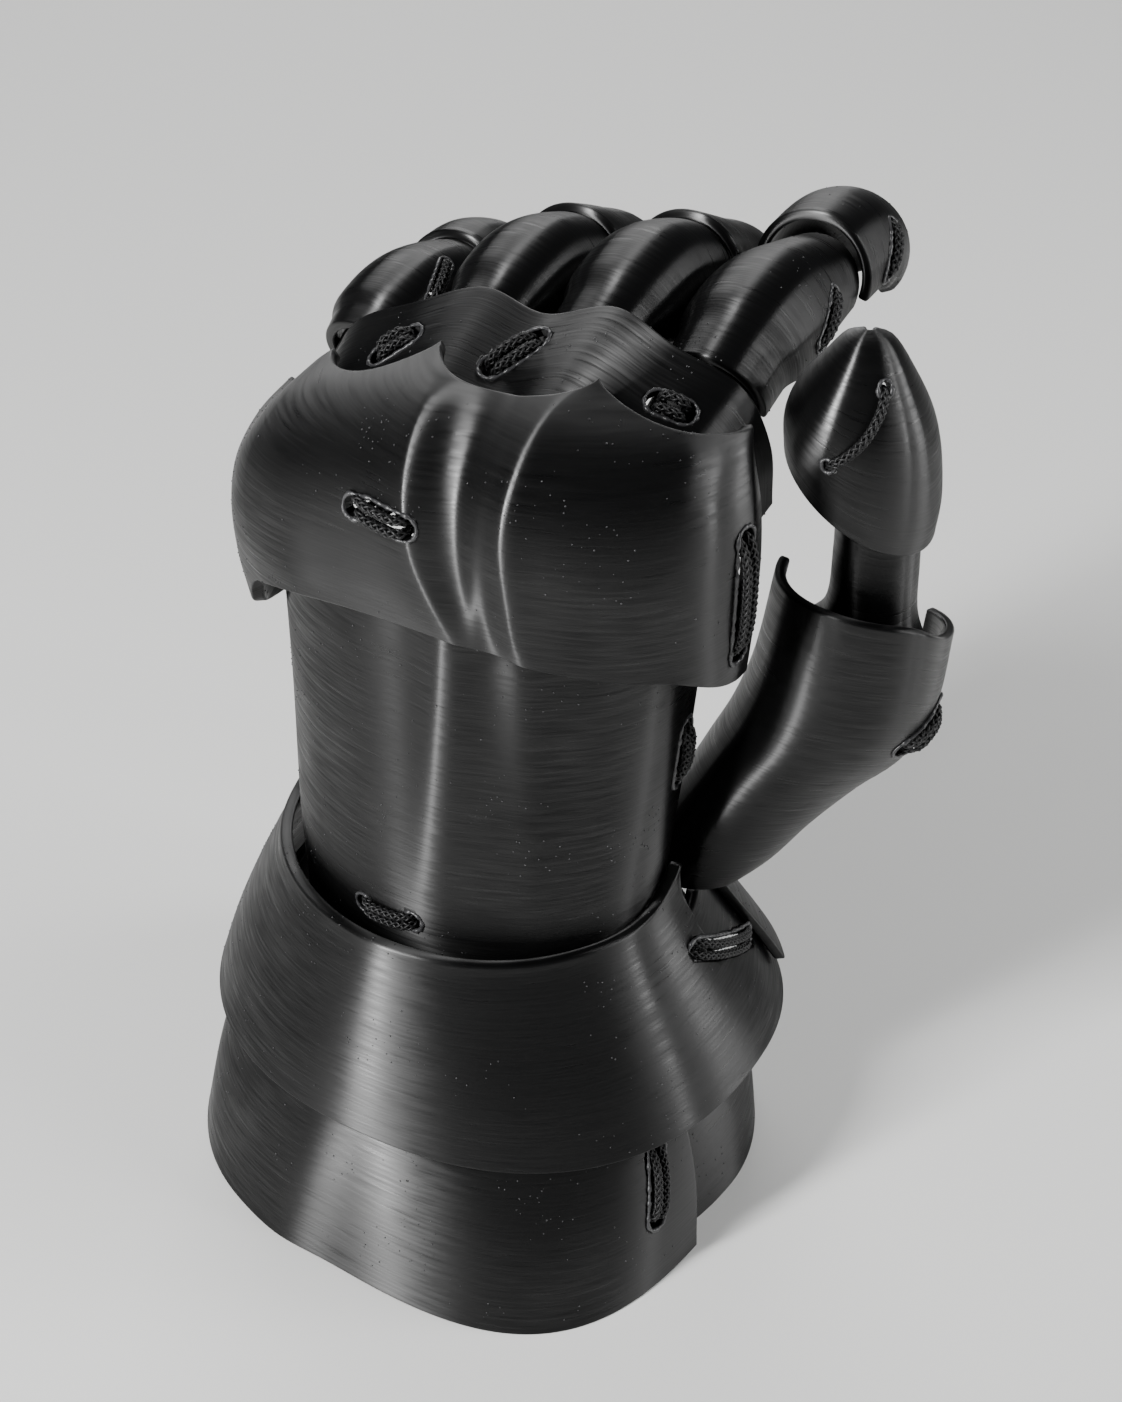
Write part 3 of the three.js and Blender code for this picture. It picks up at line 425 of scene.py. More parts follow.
fingers = table(
    "name across arch joint below tip tip_below size front rear sink sleeve rim",
    ("index", 0.662, 0.17, 1, 0.325, 1.0244, 0.077, 1.02, 1.2, 1, 0.32, 0.88, 1),
    ("middle", 0.2, 0.045, 1, 0.69, 0.927, 0.923, 0.99, 1, 1, 0, 1, 1.055),
    ("ring", -0.2655, 0.18, 1, 0.76, 0.829, 0.692, 0.99, 1, 1, 0, 1, 1.05),
    ("pinky", -0.7103, 0.6, 0.7895, 0.43, 0.805, 0.308, 0.97, 1, 0.69, 0.35, 0.12, 1.05),
)
for f in fingers:
    x, thick = KNUCKLE_HALF_WIDTH * f["across"], FINGER_RADIUS
    half, back = DOME_LENGTH / 2, CAP_LENGTH / 2
    jy, jz = JOINT_REACH * f["joint"], ROOT_CROWN - ROOT_DROP * f["arch"] - thick * f["below"]
    ty, tz = jy + DOME_LENGTH * f["tip"], jz - thick * f["tip_below"]
    fall = (jz - tz) / (ty - jy)
    rear, sink, length = jy - half * f["rear"], f["sink"] * thick, SLEEVE_LENGTH * f["sleeve"]
    sleeve_y, sleeve_z = rear + 0.23 * thick, jz - 0.346 * thick
    plates[f["name"] + "_sleeve"] = lame(x, SLEEVE_RADIUS * f["size"], 12, table(
        "at y z r lean",
        (0, sleeve_y - length, sleeve_z - 0.32 * length - sink, 1, -16),
        (0.6, sleeve_y - 0.4 * length, sleeve_z - 0.1 * length - 0.6 * sink, 0.97, -14),
        (1, sleeve_y, sleeve_z - 0.2 * sink, 0.95, -10),
    ))
    end_y, end_z = jy + half * f["front"], jz - (0.169 + 0.538 * fall) * thick
    plates[f["name"] + "_dome"] = lame(x, FINGER_RADIUS * f["size"], 14, table(
        "at y z r lean",
        (0, rear, jz - 0.423 * thick * f["rear"], 0.97, -22),
        (0.3, jy - half * 0.45, jz - 0.123 * thick, 1.0, -10),
        (0.6, jy + half * 0.2, jz, 1.0, 4),
        (0.85, jy + half * 0.7, jz - (0.0615 + 0.308 * fall) * thick, 0.9, 18),
        (1, end_y, end_z, 0.79, 26),
    ), neck=0.1)
    rim = max(ty - back, end_y - 0.077 * thick)
    rim_z = end_z - (rim - end_y) * fall if f["rim"] > 1 else tz + 0.1 * thick
    plates[f["name"] + "_cap"] = lame(x, FINGER_RADIUS * f["size"], 13, table(
        "at y z r lean",
        (0, rim, rim_z, f["rim"], 10),
        (0.35, ty - back * 0.35, tz + 0.077 * thick, 1.01, 24),
        (0.65, ty + back * 0.2, tz - 0.308 * thick, 0.93, 42),
        (0.88, ty + back * 0.55, tz - 0.923 * thick, 0.6, 60),
        (1, ty + back * 0.64, tz - 1.169 * thick, 0.34, 66),
    ))
print("finger plates:", 3 * len(fingers))

# %% Thumb plates
thumb_base_sections = table(
    "at rise width depth power shift",
    (0, 0, 0.7, 0.62, 2, 0.12), (0.1, 0.1, 0.77, 0.68, 2, 0.25), (0.265, 0.265, 0.81, 0.74, 2, 0.44),
    (0.43, 0.43, 0.89, 0.81, 2, 0.64), (0.56, 0.56, 0.98, 0.87, 2, 0.81),
    (0.73, 0.73, 1, 0.89, 2.1, 0.93), (1, 1, 0.95, 0.87, 2.2, 1),
)
thumb_rim = table("angle drop", (-60, 0.167), (0, 0.108), (40, 0.024), (90, 0), (172, 0))
thumb_base_height = THUMB_BASE_HIGH - THUMB_BASE_LOW
thumb_base = wrap_surface({
    "half_width": THUMB_BASE_HALF_WIDTH, "back": THUMB_BASE_HALF_WIDTH, "shift": THUMB_LEAN,
    "sections": thumb_base_sections, "from": 172, "to": -60, "low": lambda a: THUMB_BASE_LOW + 0 * a,
    "high": lambda a: THUMB_BASE_HIGH - thumb_base_height * by_angle(thumb_rim, a, "drop"),
})


def funnel(u, v):
    return thumb_base["surface"](u, v) + np.array([*THUMB_ROOT, 0.0])


plates["thumb_base"] = {"surface": funnel, "normal": thumb_base["normal"]}
thumb_x = THUMB_ROOT[0] + THUMB_LEAN[0] + 0.032 * THUMB_RADIUS
thumb_y = THUMB_ROOT[1] + THUMB_LEAN[1] - 0.0645 * THUMB_RADIUS


def thumb_lame(radius, start, stop, stations):
    def middle(v, y=0.0, z=0.0):
        return np.stack([
            thumb_x + THUMB_RADIUS * column(stations, v, "x"),
            thumb_y + THUMB_RADIUS * (column(stations, v, "y") + y),
            THUMB_BASE_HIGH + THUMB_LENGTH * column(stations, v, "rise") + z * THUMB_RADIUS,
        ], -1)

    def surface(u, v):
        degrees = np.radians(start + (stop - start) * u)
        r = np.maximum(column(stations, v, "r"), 0) * radius
        c, s = np.cos(degrees), np.sin(degrees)
        return middle(v) + np.stack([r * c, -r * s, -column(stations, v, "tilt") * r * c], -1)

    return by_steps(surface, lambda v: middle(v, 0.13, -0.19))


plates["thumb_sleeve"] = thumb_lame(THUMB_SLEEVE_RADIUS, 200, -40, table(
    "at x y rise r tilt",
    (0, -0.129, 0.084, -0.313, 1.7, 0), (0.3, 0.032, 0.103, -0.139, 1.1, 0),
    (0.6, 0.0645, 0.0645, 0.087, 1, 0.1), (1, 0.0645, 0, 0.365, 1, 0.2),
))
plates["thumb_dome"] = thumb_lame(THUMB_RADIUS, 172, -40, table(
    "at x y rise r tilt",
    (0, -0.1935, -0.0645, 0.3826, 1.0, 0.6), (0.3, -0.161, -0.129, 0.539, 1.02, 0.5),
    (0.6, -0.129, -0.1935, 0.7304, 0.86, 0.3), (0.85, -0.161, -0.1935, 0.9043, 0.5, 0.15),
    (0.94, -0.2065, -0.148, 0.9774, 0.28, 0.05), (1, -0.226, -0.129, 1, 0.05, 0),
))
print("plates in all:", len(plates))

# %% [markdown]
# The rules above are drawn about the wrist's middle line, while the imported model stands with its
# origin under the middle of the whole gauntlet. Comparing one plate's box in the frame with the same
# plate's own box gives the move between the two, so the fine plates land exactly on the solids.


# %% Line the rules up with the frame
def own_box(plate):
    u, v = np.meshgrid(np.linspace(0, 1, 400), np.linspace(0, 1, 80))
    p = plate["surface"](u, v).reshape(-1, 3)
    return p.min(0), p.max(0)


low, high = own_box(plates["cuff_lower_back"])
frame_low, frame_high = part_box("cuff_lower_back")
MOVE = np.array([(frame_low[k] + frame_high[k]) * 500 - (low[k] + high[k]) / 2 for k in range(3)])
MOVE[1] = frame_low[1] * 1000 - low[1]
MOVE[2] = 0
print("move from the wrist line to the frame, in mm:", MOVE.round(2))

# %% [markdown]
# A plate needs a wall and softly broken edges. Solidify and Bevel could do it, but their corners
# shade badly on a thin curved sheet. Here the wall's two faces come together near each rim along a
# small quarter circle, in extra rows a fraction of a millimetre apart, so every rim is rounded and
# the mesh stays one closed skin. The UV map runs in metres along and across the printed layers.

# %% Wall, rims and mesh of a plate
EDGE_ROUND = 0.55
FAR_FROM_EDGE = 9.0


def spacing(a, b):
    return np.linalg.norm(b - a, axis=1)


def round_steps(wall):
    r = min(EDGE_ROUND, wall * 0.4)
    return r, np.array([0, 0.1, 0.35, 0.7, 1.0, 1.7]) * r


def plate_grid(plate, wall, across, up):
    surface, normal = plate["surface"], plate["normal"]
    r, steps = round_steps(wall)
    middle = surface(np.linspace(0, 1, 200), np.full(200, 0.5))
    size_u = spacing(middle[:-1], middle[1:]).sum()
    margin = steps[-1] / size_u
    inner = np.linspace(margin, 1 - margin, across)
    kept = np.array(plate.get("keep", []))
    if len(kept):
        inner = inner[np.abs(inner[:, None] - kept).min(1) > 0.4 / across]
        inner = np.concatenate([inner, kept])
    us = np.concatenate([steps[:-1] / size_u, np.sort(inner), 1 - steps[-2::-1] / size_u])
    edge_u = np.concatenate([steps, np.full(len(us) - 2 * len(steps), FAR_FROM_EDGE), steps[::-1]])
    one = np.ones(len(us))
    low = spacing(surface(us, 0 * one), surface(us, 0.02 * one)) / 0.02
    top = spacing(surface(us, 0.98 * one), surface(us, one)) / 0.02
    rows = []
    for s in steps[:-1]:
        rows.append((s / low, s))
    start, end = steps[-1] / low, 1 - steps[-1] / top
    for k in np.linspace(0, 1, up):
        rows.append((start + (end - start) * k, FAR_FROM_EDGE if 0 < k < 1 else steps[-1]))
    for s in steps[-2::-1]:
        rows.append((1 - s / top, s))
    v = np.array([row[0] for row in rows])
    edge = np.minimum(np.array([row[1] for row in rows])[:, None], edge_u[None, :])
    u = np.broadcast_to(us, v.shape)
    p, n = surface(u, v), normal(u, v)
    half = wall / 2 - r + np.sqrt(np.maximum(r * r - np.maximum(r - edge, 0) ** 2, 0))
    middle = p - n * (wall / 2)
    return middle + n * half[..., None], middle - n * half[..., None], u * size_u, v


def put(name, data):
    """Puts an object with this mesh, light or camera in the scene."""
    obj = bpy.data.objects.new(name, data)
    bpy.context.scene.collection.objects.link(obj)
    return obj


def shape(name, points, edges, faces):
    mesh = bpy.data.meshes.new(name)
    mesh.from_pydata(points, edges, faces)
    return put(name, mesh)


def plate_mesh(name, plate, wall, across, up, layers="z"):
    outer, inner, along, v = plate_grid(plate, wall, across, up)
    rows, cols = v.shape
    points = (np.concatenate([outer.reshape(-1, 3), inner.reshape(-1, 3)]) + MOVE) / 1000
    idx = np.arange(rows * cols).reshape(rows, cols)
    a, b, c, d = idx[:-1, :-1].ravel(), idx[:-1, 1:].ravel(), idx[1:, 1:].ravel(), idx[1:, :-1].ravel()
    k = rows * cols
    ring = np.concatenate([idx[0, :-1], idx[:-1, -1], idx[-1, :0:-1], idx[:0:-1, 0]])
    after = np.roll(ring, -1)
    outside, inside = np.stack([a, b, c, d], 1), np.stack([a + k, d + k, c + k, b + k], 1)
    quads = np.concatenate([outside, inside, np.stack([ring, ring + k, after + k, after], 1)])
    face = points[quads[: len(a)]]
    facing = np.cross(face[:, 1] - face[:, 0], face[:, 3] - face[:, 0])
    if np.sum(facing * (points[:k] - points[k:])[a]) < 0:
        quads = quads[:, ::-1]
    obj = shape(name, points.tolist(), [], quads.tolist())
    mesh = obj.data
    mesh.polygons.foreach_set("use_smooth", np.ones(len(quads), bool))
    if layers == "z":
        level = np.tile(outer[..., 2].ravel(), 2)
    else:
        lengths = np.linalg.norm(np.diff(outer, axis=0), axis=2).mean(1)
        level = np.tile(np.repeat(np.concatenate([[0], np.cumsum(lengths)]), cols), 2)
    uv = np.stack([np.tile(along.ravel(), 2), level], 1) / 1000
    corner = np.zeros(len(mesh.loops), np.int32)
    mesh.loops.foreach_get("vertex_index", corner)
    mesh.uv_layers.new(name="layers").data.foreach_set("uv", uv[corner].astype(np.float32).ravel())
    return obj


print("rims are rounded by", EDGE_ROUND, "mm")

# %% [markdown]
# Every tie leaves the inside of a plate through a slot, lies on the plate and goes back in. The slots
# are stadium-shaped holes with a slightly raised lip of over-extruded plastic. A row gives the two
# ends of a slot as shares across and up its plate, how wide it is, and one or two strands of cord.

# %% Where the ties go
ties = table(
    "name on u1 v1 u2 v2 strands slot",
    ("tie_wrist", "hand_back", 0.419, 0.163, 0.506, 0.175, 2, "holes"),
    ("tie_hand_edge", "hand_back", 0.962, 0.475, 0.962, 0.6, 2, "slot"),
    ("tie_cuff_side", "cuff_upper_back", 0.838, 0.625, 0.944, 0.45, 2, "slot"),
    ("tie_cuff_low", "cuff_lower_back", 0.925, 0.3, 0.938, 0.55, 2, "slot"),
    ("tie_knuckle_face", "knuckle_plate", 0.494, 0.475, 0.556, 0.5, 2, "slot"),
    ("tie_knuckle_side", "knuckle_plate", 0.955, 0.13, 0.944, 0.575, 2, "slot"),
    ("tie_root_pinky", "finger_root_plate", 0.313, 0.537, 0.35, 0.65, 2, "slot"),
    ("tie_root_ring", "finger_root_plate", 0.494, 0.463, 0.531, 0.762, 2, "slot"),
    ("tie_root_middle", "finger_root_plate", 0.744, 0.588, 0.781, 0.613, 2, "slot"),
    ("tie_index_dome", "index_dome", 0.8, 0.725, 0.925, 0.475, 1, "slot"),
    ("tie_index_cap", "index_cap", 0.75, 0.375, 0.955, 0.24, 1, "slot"),
    ("tie_pinky_dome", "pinky_dome", 0.644, 0.637, 0.738, 0.412, 1, "slot"),
    ("tie_thumb_dome", "thumb_dome", 0.594, 0.82, 0.369, 0.412, 1, "holes"),
    ("tie_thumb_base", "thumb_base", 0.8, 0.738, 0.681, 0.625, 2, "slot"),
)
walls = {n: PLATE_WALL if n.startswith(("cuff", "hand", "knuckle")) else FINGER_WALL for n in plates}


def tie_line(t, s):
    """Shares across and up the plate; the line stays straight where the cuff's rim steps down."""
    u, v = np.array(t["u1"] + (t["u2"] - t["u1"]) * s), np.array(t["v1"] + (t["v2"] - t["v1"]) * s)
    if t["on"] == "cuff_upper_back":
        w = plates[t["on"]]["wrap"]
        shares = (t["u1"], t["u2"], u)
        end1, end2, end = (w["end"](w["from"] + (w["to"] - w["from"]) * share) for share in shares)
        v = (t["v1"] * end1 + (t["v2"] * end2 - t["v1"] * end1) * s) / end
    return u, v


def on_plate(t, s, lift=0.0, side=0.0):
    """Place on a tie's line, lifted off the plate and moved sideways, in mm."""
    plate = plates[t["on"]]
    p, n = plate["surface"](*tie_line(t, s)), plate["normal"](*tie_line(t, s))
    e = 0.02
    ahead, behind = plate["surface"](*tie_line(t, s + e)), plate["surface"](*tie_line(t, s - e))
    along = (ahead - behind) / np.linalg.norm(ahead - behind)
    across = np.cross(n, along)
    return p + n * lift + across / np.linalg.norm(across) * side


for t in ties:
    t["length"] = float(np.linalg.norm(on_plate(t, 1.0) - on_plate(t, 0.0)))
print("ties:", len(ties), "lengths in mm:", [round(t["length"], 1) for t in ties])


# %% Cutters for the slots
CUT_PAST, SLOT_PLAY = 2.5, 0.3


def slot_rim(t, s0, s1, half, lift):
    """Loop of points round a slot on the plate's face: two straight sides and two round ends."""
    loop = []
    span = t["length"]
    for end, way in ((s1, 1), (s0, -1)):
        for a in np.linspace(-90, 90, 9):
            forward, side = half * math.cos(math.radians(a)), half * math.sin(math.radians(a))
            loop.append(on_plate(t, end + way * forward / span, lift, -way * side))
        if abs(s1 - s0) * span > 3:
            for k in (0.25, 0.5, 0.75):
                loop.append(on_plate(t, end + (s1 + s0 - 2 * end) * k, lift, -way * half))
    return np.array(loop)


def cutter(t, s0, s1, half):
    rims = [slot_rim(t, s0, s1, half, lift) for lift in (CUT_PAST, -walls[t["on"]] - CUT_PAST)]
    n = len(rims[0])
    points = (np.concatenate(rims) + MOVE) / 1000
    faces = [list(range(n))[::-1], list(range(n, 2 * n))]
    faces += [[k, (k + 1) % n, n + (k + 1) % n, n + k] for k in range(n)]
    obj = shape("cutter", points.tolist(), [], faces)
    turn_outwards(obj.data)
    return obj


def turn_outwards(mesh):
    bm = bmesh.new()
    bm.from_mesh(mesh)
    bmesh.ops.recalc_face_normals(bm, faces=bm.faces)
    bm.to_mesh(mesh)
    bm.free()


def slots_of(t):
    half = CORD_RADIUS * (1.05 if t["strands"] == 1 else 2.15) + SLOT_PLAY
    if t["slot"] == "holes":
        return [(0, 0, half * 0.9), (1, 1, half * 0.9)]
    return [(0, 1, half)]


def cut(obj, cutters):
    for c in cutters:
        mod = obj.modifiers.new("slot", "BOOLEAN")
        mod.operation, mod.solver, mod.object = "DIFFERENCE", "EXACT", c
    done = bpy.data.meshes.new_from_object(obj.evaluated_get(bpy.context.evaluated_depsgraph_get()))
    obj.modifiers.clear()
    obj.data = done
    for c in cutters:
        bpy.data.objects.remove(c)


print("slots:", sum(len(slots_of(t)) for t in ties))

# %% [markdown]
# Now each plate is built at its fine size, its slots are cut through, and it takes the place of the
# faceted solid in the frame. Big plates get about a millimetre between points, the small finger
# plates a little less, which is fine enough for a smooth highlight.

# %% Build the plates
detail = {
    "cuff_lower_back": (150, 34), "cuff_lower_palm": (150, 34), "cuff_upper_back": (200, 44),
    "cuff_upper_palm": (110, 34), "hand_back": (150, 60), "knuckle_plate": (280, 70),
    "finger_root_plate": (120, 26), "thumb_base": (70, 60),
}
SMALL_PLATE_DETAIL = (48, 44)
layered_up = ("cuff", "hand", "knuckle")
built = {}
for name, plate in plates.items():
    across, up = detail.get(name, SMALL_PLATE_DETAIL)
    layers = "z" if name.startswith(layered_up) else "v"
    obj = plate_mesh(name + "_fine", plate, walls[name], across, up, layers)
    cutters = [cutter(t, *s) for t in ties if t["on"] == name for s in slots_of(t)]
    if cutters:
        bpy.context.view_layer.update()
        cut(obj, cutters)
    built[name] = obj
print("fine plates:", len(built), "faces:", sum(len(o.data.polygons) for o in built.values()))

# %% [markdown]
# Printed plastic shines in its own way. Each layer is a thin ridge, so light spreads across the
# layers and a highlight becomes a tall bright streak. Anisotropy turned across the layers does that,
# with its direction taken from the UV map. A bump finer than a pixel would blur the streak, so the
# single layers are lines in the gloss instead, with only a slight bump, and small pimples break them.


# %% Helpers for the materials
def feed(tree, node, feeds):
    """Sets each socket of a node to a value, or joins another node's socket to it."""
    for socket, value in feeds:
        if isinstance(value, bpy.types.NodeSocket):
            tree.links.new(value, node.inputs[socket])
        else:
            node.inputs[socket].default_value = value


def add(tree, kind, feeds=(), **settings):
    node = tree.nodes.new(kind)
    for k, v in settings.items():
        setattr(node, k, v)
    feed(tree, node, feeds)
    return node


def principled(name):
    material = bpy.data.materials.new(name)
    material.use_nodes = True
    tree = material.node_tree
    tree.nodes.clear()
    shade = add(tree, "ShaderNodeBsdfPrincipled", location=(600, 0))
    add(tree, "ShaderNodeOutputMaterial", [(0, shade.outputs[0])], location=(900, 0))
    return material, tree, shade


def two_tone(name, scale, dark, light):
    """Colour that wanders between two tones. Gives the material, its tree, shader and noise."""
    material, tree, shade = principled(name)
    where = add(tree, "ShaderNodeTexCoord", location=(-900, 0)).outputs["Object"]
    feeds = [("Vector", where), ("Scale", scale), ("Detail", 2)]
    noise = add(tree, "ShaderNodeTexNoise", feeds, location=(-650, 0)).outputs["Fac"]
    feeds = [("Factor", noise), ("A", (*dark, 1)), ("B", (*light, 1))]
    tone = add(tree, "ShaderNodeMix", feeds, location=(-300, 200), data_type="RGBA")
    feed(tree, shade, [("Base Color", tone.outputs["Result"])])
    return material, tree, shade, noise


# %% Printed plastic
PLASTIC_TONE, PLASTIC_SHINE = 0.0012, 0.42
LAYER_GLOSS, LAYER_RELIEF, PIMPLE_RELIEF = 0.44, 0.00008, 0.00012


def printed_plastic(name, low, layer):
    """Black printed plastic: low is its least roughness, layer a printed layer's height in mm."""
    material, tree, shade = principled(name)

    def node(kind, at, feeds=(), out=0, **settings):
        return add(tree, kind, feeds, location=at, **settings).outputs[out]

    uv = node("ShaderNodeUVMap", (-1400, 0), uv_map="layers")
    tangent = node("ShaderNodeTangent", (300, -500), direction_type="UV_MAP", uv_map="layers")
    where = node("ShaderNodeTexCoord", (-1400, -400), out="Object")

    def stretched(scale_u, scale_v, at):
        feeds = [("Vector", uv), ("Scale", (scale_u, scale_v, 1))]
        feeds = [("Vector", node("ShaderNodeMapping", (-1100, at), feeds)), ("Scale", 1), ("Detail", 1)]
        return node("ShaderNodeTexNoise", (-850, at), feeds, "Fac")

    fine, coarse = stretched(90, 900 / layer, 300), stretched(60, 430 / layer, 60)
    feeds = [("Factor", 0.4), ("A", fine), ("B", coarse)]
    lines = node("ShaderNodeMix", (-600, 200), feeds, "Result", data_type="FLOAT")

    feeds = [("Vector", where), ("Scale", 420)]
    pimple = add(tree, "ShaderNodeTexVoronoi", feeds, location=(-850, -250), feature="F1").outputs
    feeds = [("Value", pimple["Distance"]), ("From Min", 0.14), ("From Max", 0.04)]
    dots = node("ShaderNodeMapRange", (-600, -250), feeds)
    feeds = [("Value", pimple["Color"]), ("From Min", 0.93), ("From Max", 0.96)]
    rare = node("ShaderNodeMapRange", (-600, -500), feeds)
    spots = node("ShaderNodeMath", (-400, -350), [(0, dots), (1, rare)], operation="MULTIPLY")

    feeds = [("Strength", 1.0), ("Distance", LAYER_RELIEF), ("Height", lines)]
    layers = node("ShaderNodeBump", (0, 0), feeds)
    feeds = [("Strength", 0.8), ("Distance", PIMPLE_RELIEF), ("Height", spots), ("Normal", layers)]
    relief = node("ShaderNodeBump", (250, -200), feeds)

    feeds = [("Vector", where), ("Scale", 55), ("Detail", 5)]
    cloud = node("ShaderNodeTexNoise", (-850, 600), feeds, "Fac")
    feeds = [("From Min", 0.3), ("From Max", 0.7), ("To Min", low), ("To Max", low + 0.1)]
    gloss = node("ShaderNodeMapRange", (-400, 600), [("Value", cloud), *feeds])
    feeds = [(0, lines), (1, LAYER_GLOSS), (2, gloss)]
    striped = node("ShaderNodeMath", (-100, 500), feeds, operation="MULTIPLY_ADD")
    dark = [PLASTIC_TONE * k for k in (1, 1, 1.04)]
    light = [PLASTIC_TONE * k for k in (2.1, 2.1, 2.2)]
    feeds = [("Factor", lines), ("A", (*dark, 1)), ("B", (*light, 1))]
    tint = node("ShaderNodeMix", (300, 300), feeds, "Result", data_type="RGBA")
    feed(tree, shade, [
        ("Base Color", tint), ("Roughness", striped), ("Normal", relief), ("Tangent", tangent),
        ("Anisotropic", 1.0), ("Anisotropic Rotation", 0.25), ("Specular IOR Level", PLASTIC_SHINE),
    ])
    return material


# %% Materials of the plates
# Beads and blobs are the same black plastic as the plates, but their tones are about ten times lighter:
# a painted glint
bead_tones_painted_glint = (0.012, 0.012, 0.013), (0.05, 0.05, 0.052)
bead_plastic_painted_glint, tree, shade = two_tone("printed_beads", 700, *bead_tones_painted_glint)[:3]
feed(tree, shade, [("Roughness", 0.34), ("Specular IOR Level", 0.5)])
plastic = printed_plastic("printed_plastic", low=0.09, layer=0.55)
small_plastic = printed_plastic("printed_plastic_fingers", low=0.07, layer=0.45)
for name, obj in built.items():
    obj.data.materials.clear()
    obj.data.materials.append(plastic if name.startswith(layered_up) else small_plastic)
    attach(obj, "root")
    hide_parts(name)
print("plates dressed:", len(built))

# %% [markdown]
# The cord is a tube braided from eight thin yarns: four wind one way, four the other, and they pass
# over and under each other. Modelling the yarns gives the real crossing pattern, which a bump can't.
# A node tree does the winding: it copies the cord's path once for each yarn, then moves every point
# round the path by an angle that grows along it.


# %% A helper for node trees
class Tree:
    """Makes nodes and joins them, and ends in Realize Instances and Set Material."""

    def __init__(self, name, inputs):
        self.tree = bpy.data.node_groups.new(name, "GeometryNodeTree")
        face = self.tree.interface
        face.new_socket("Geometry", in_out="INPUT", socket_type="NodeSocketGeometry")
        for label, kind, value in inputs:
            socket = face.new_socket(label, in_out="INPUT", socket_type="NodeSocket" + kind)
            if value is not None:
                socket.default_value = value
        face.new_socket("Geometry", in_out="OUTPUT", socket_type="NodeSocketGeometry")
        self.given = self.tree.nodes.new("NodeGroupInput").outputs
        self.result = self.tree.nodes.new("NodeGroupOutput").inputs[0]

    def node(self, kind, feeds=(), **settings):
        return add(self.tree, kind, feeds, **settings)

    def maths(self, operation, *values):
        return self.node("ShaderNodeMath", enumerate(values), operation=operation).outputs[0]

    def finish(self, geometry):
        real = self.node("GeometryNodeRealizeInstances", [(0, geometry)])
        soft = self.node("GeometryNodeSetShadeSmooth", [(0, real.outputs[0]), (2, True)])
        feeds = [(0, soft.outputs[0]), ("Material", self.given["Material"])]
        paint = self.node("GeometryNodeSetMaterial", feeds)
        self.tree.links.new(paint.outputs[0], self.result)
        return self.tree


# %% Node tree that braids a cord along a path
braid = Tree("Braid along a path", [
    ("Cord Radius", "Float", 0.0008), ("Yarn Radius", "Float", 0.0004),
    ("Turns per Metre", "Float", 160.0), ("Step", "Float", 0.00045), ("Yarns", "Int", 8),
    ("Material", "Material", None),
])
given, maths, node = braid.given, braid.maths, braid.node
path = node("GeometryNodeMeshToCurve", [("Mesh", given["Geometry"])])
feeds = [("Curve", path.outputs[0]), ("Length", given["Step"])]
even = node("GeometryNodeResampleCurve", feeds, mode="LENGTH")
feeds = [("Geometry", even.outputs[0]), ("Amount", given["Yarns"])]
copies = node("GeometryNodeDuplicateElements", feeds, domain="SPLINE")
keep = node("GeometryNodeCaptureAttribute", domain="CURVE")
keep.capture_items.new("FLOAT", "yarn")
braid.tree.links.new(copies.outputs["Geometry"], keep.inputs[0])
braid.tree.links.new(copies.outputs["Duplicate Index"], keep.inputs[1])
yarn = keep.outputs[1]
print("nodes before the winding:", len(braid.tree.nodes))

# %% Where each yarn goes
along = node("GeometryNodeSplineParameter").outputs["Length"]
tangent = node("GeometryNodeInputTangent").outputs[0]
normal = node("GeometryNodeInputNormal").outputs[0]
side = node("ShaderNodeVectorMath", [(0, tangent), (1, normal)], operation="CROSS_PRODUCT").outputs[0]
half = maths("DIVIDE", given["Yarns"], 2)
way = maths("SUBTRACT", 1, maths("MULTIPLY", maths("MODULO", yarn, 2), 2))
share = maths("DIVIDE", maths("FLOOR", maths("DIVIDE", yarn, 2)), half)
wound = maths("MULTIPLY", maths("MULTIPLY", along, given["Turns per Metre"]), way)
angle = maths("MULTIPLY", maths("ADD", wound, share), 2 * math.pi)
wave = maths("COSINE", maths("MULTIPLY", angle, half))
over = maths("MULTIPLY", maths("MULTIPLY", wave, way), maths("MULTIPLY", given["Yarn Radius"], 0.55))
radius = maths("ADD", given["Cord Radius"], over)
parts = []
for turn, direction in (("COSINE", normal), ("SINE", side)):
    feeds = [(0, direction), ("Scale", maths("MULTIPLY", maths(turn, angle), radius))]
    parts.append(node("ShaderNodeVectorMath", feeds, operation="SCALE").outputs[0])
offset = node("ShaderNodeVectorMath", enumerate(parts), operation="ADD").outputs[0]
move = node("GeometryNodeSetPosition", [("Geometry", keep.outputs[0]), ("Offset", offset)])
ring = node("GeometryNodeCurvePrimitiveCircle", [("Resolution", 6), ("Radius", given["Yarn Radius"])])
feeds = [("Curve", move.outputs[0]), ("Profile Curve", ring.outputs[0]), ("Fill Caps", True)]
braid_tree = braid.finish(node("GeometryNodeCurveToMesh", feeds).outputs[0])
print("braid tree has", len(braid_tree.nodes), "nodes")


# %% Run a node tree on an object
def run_tree(obj, tree, **values):
    """Runs a node tree on an object, turns the result into its plain mesh and drops the modifier."""
    mod = obj.modifiers.new("nodes", "NODES")
    mod.node_group = tree
    for item in tree.interface.items_tree:
        label = item.name.replace(" ", "_")
        if item.in_out == "INPUT" and label in values:
            mod[item.identifier] = values[label]
    bpy.context.view_layer.update()
    done = bpy.data.meshes.new_from_object(obj.evaluated_get(bpy.context.evaluated_depsgraph_get()))
    obj.modifiers.clear()
    obj.data = done


print("node trees so far:", [tree.name for tree in bpy.data.node_groups])

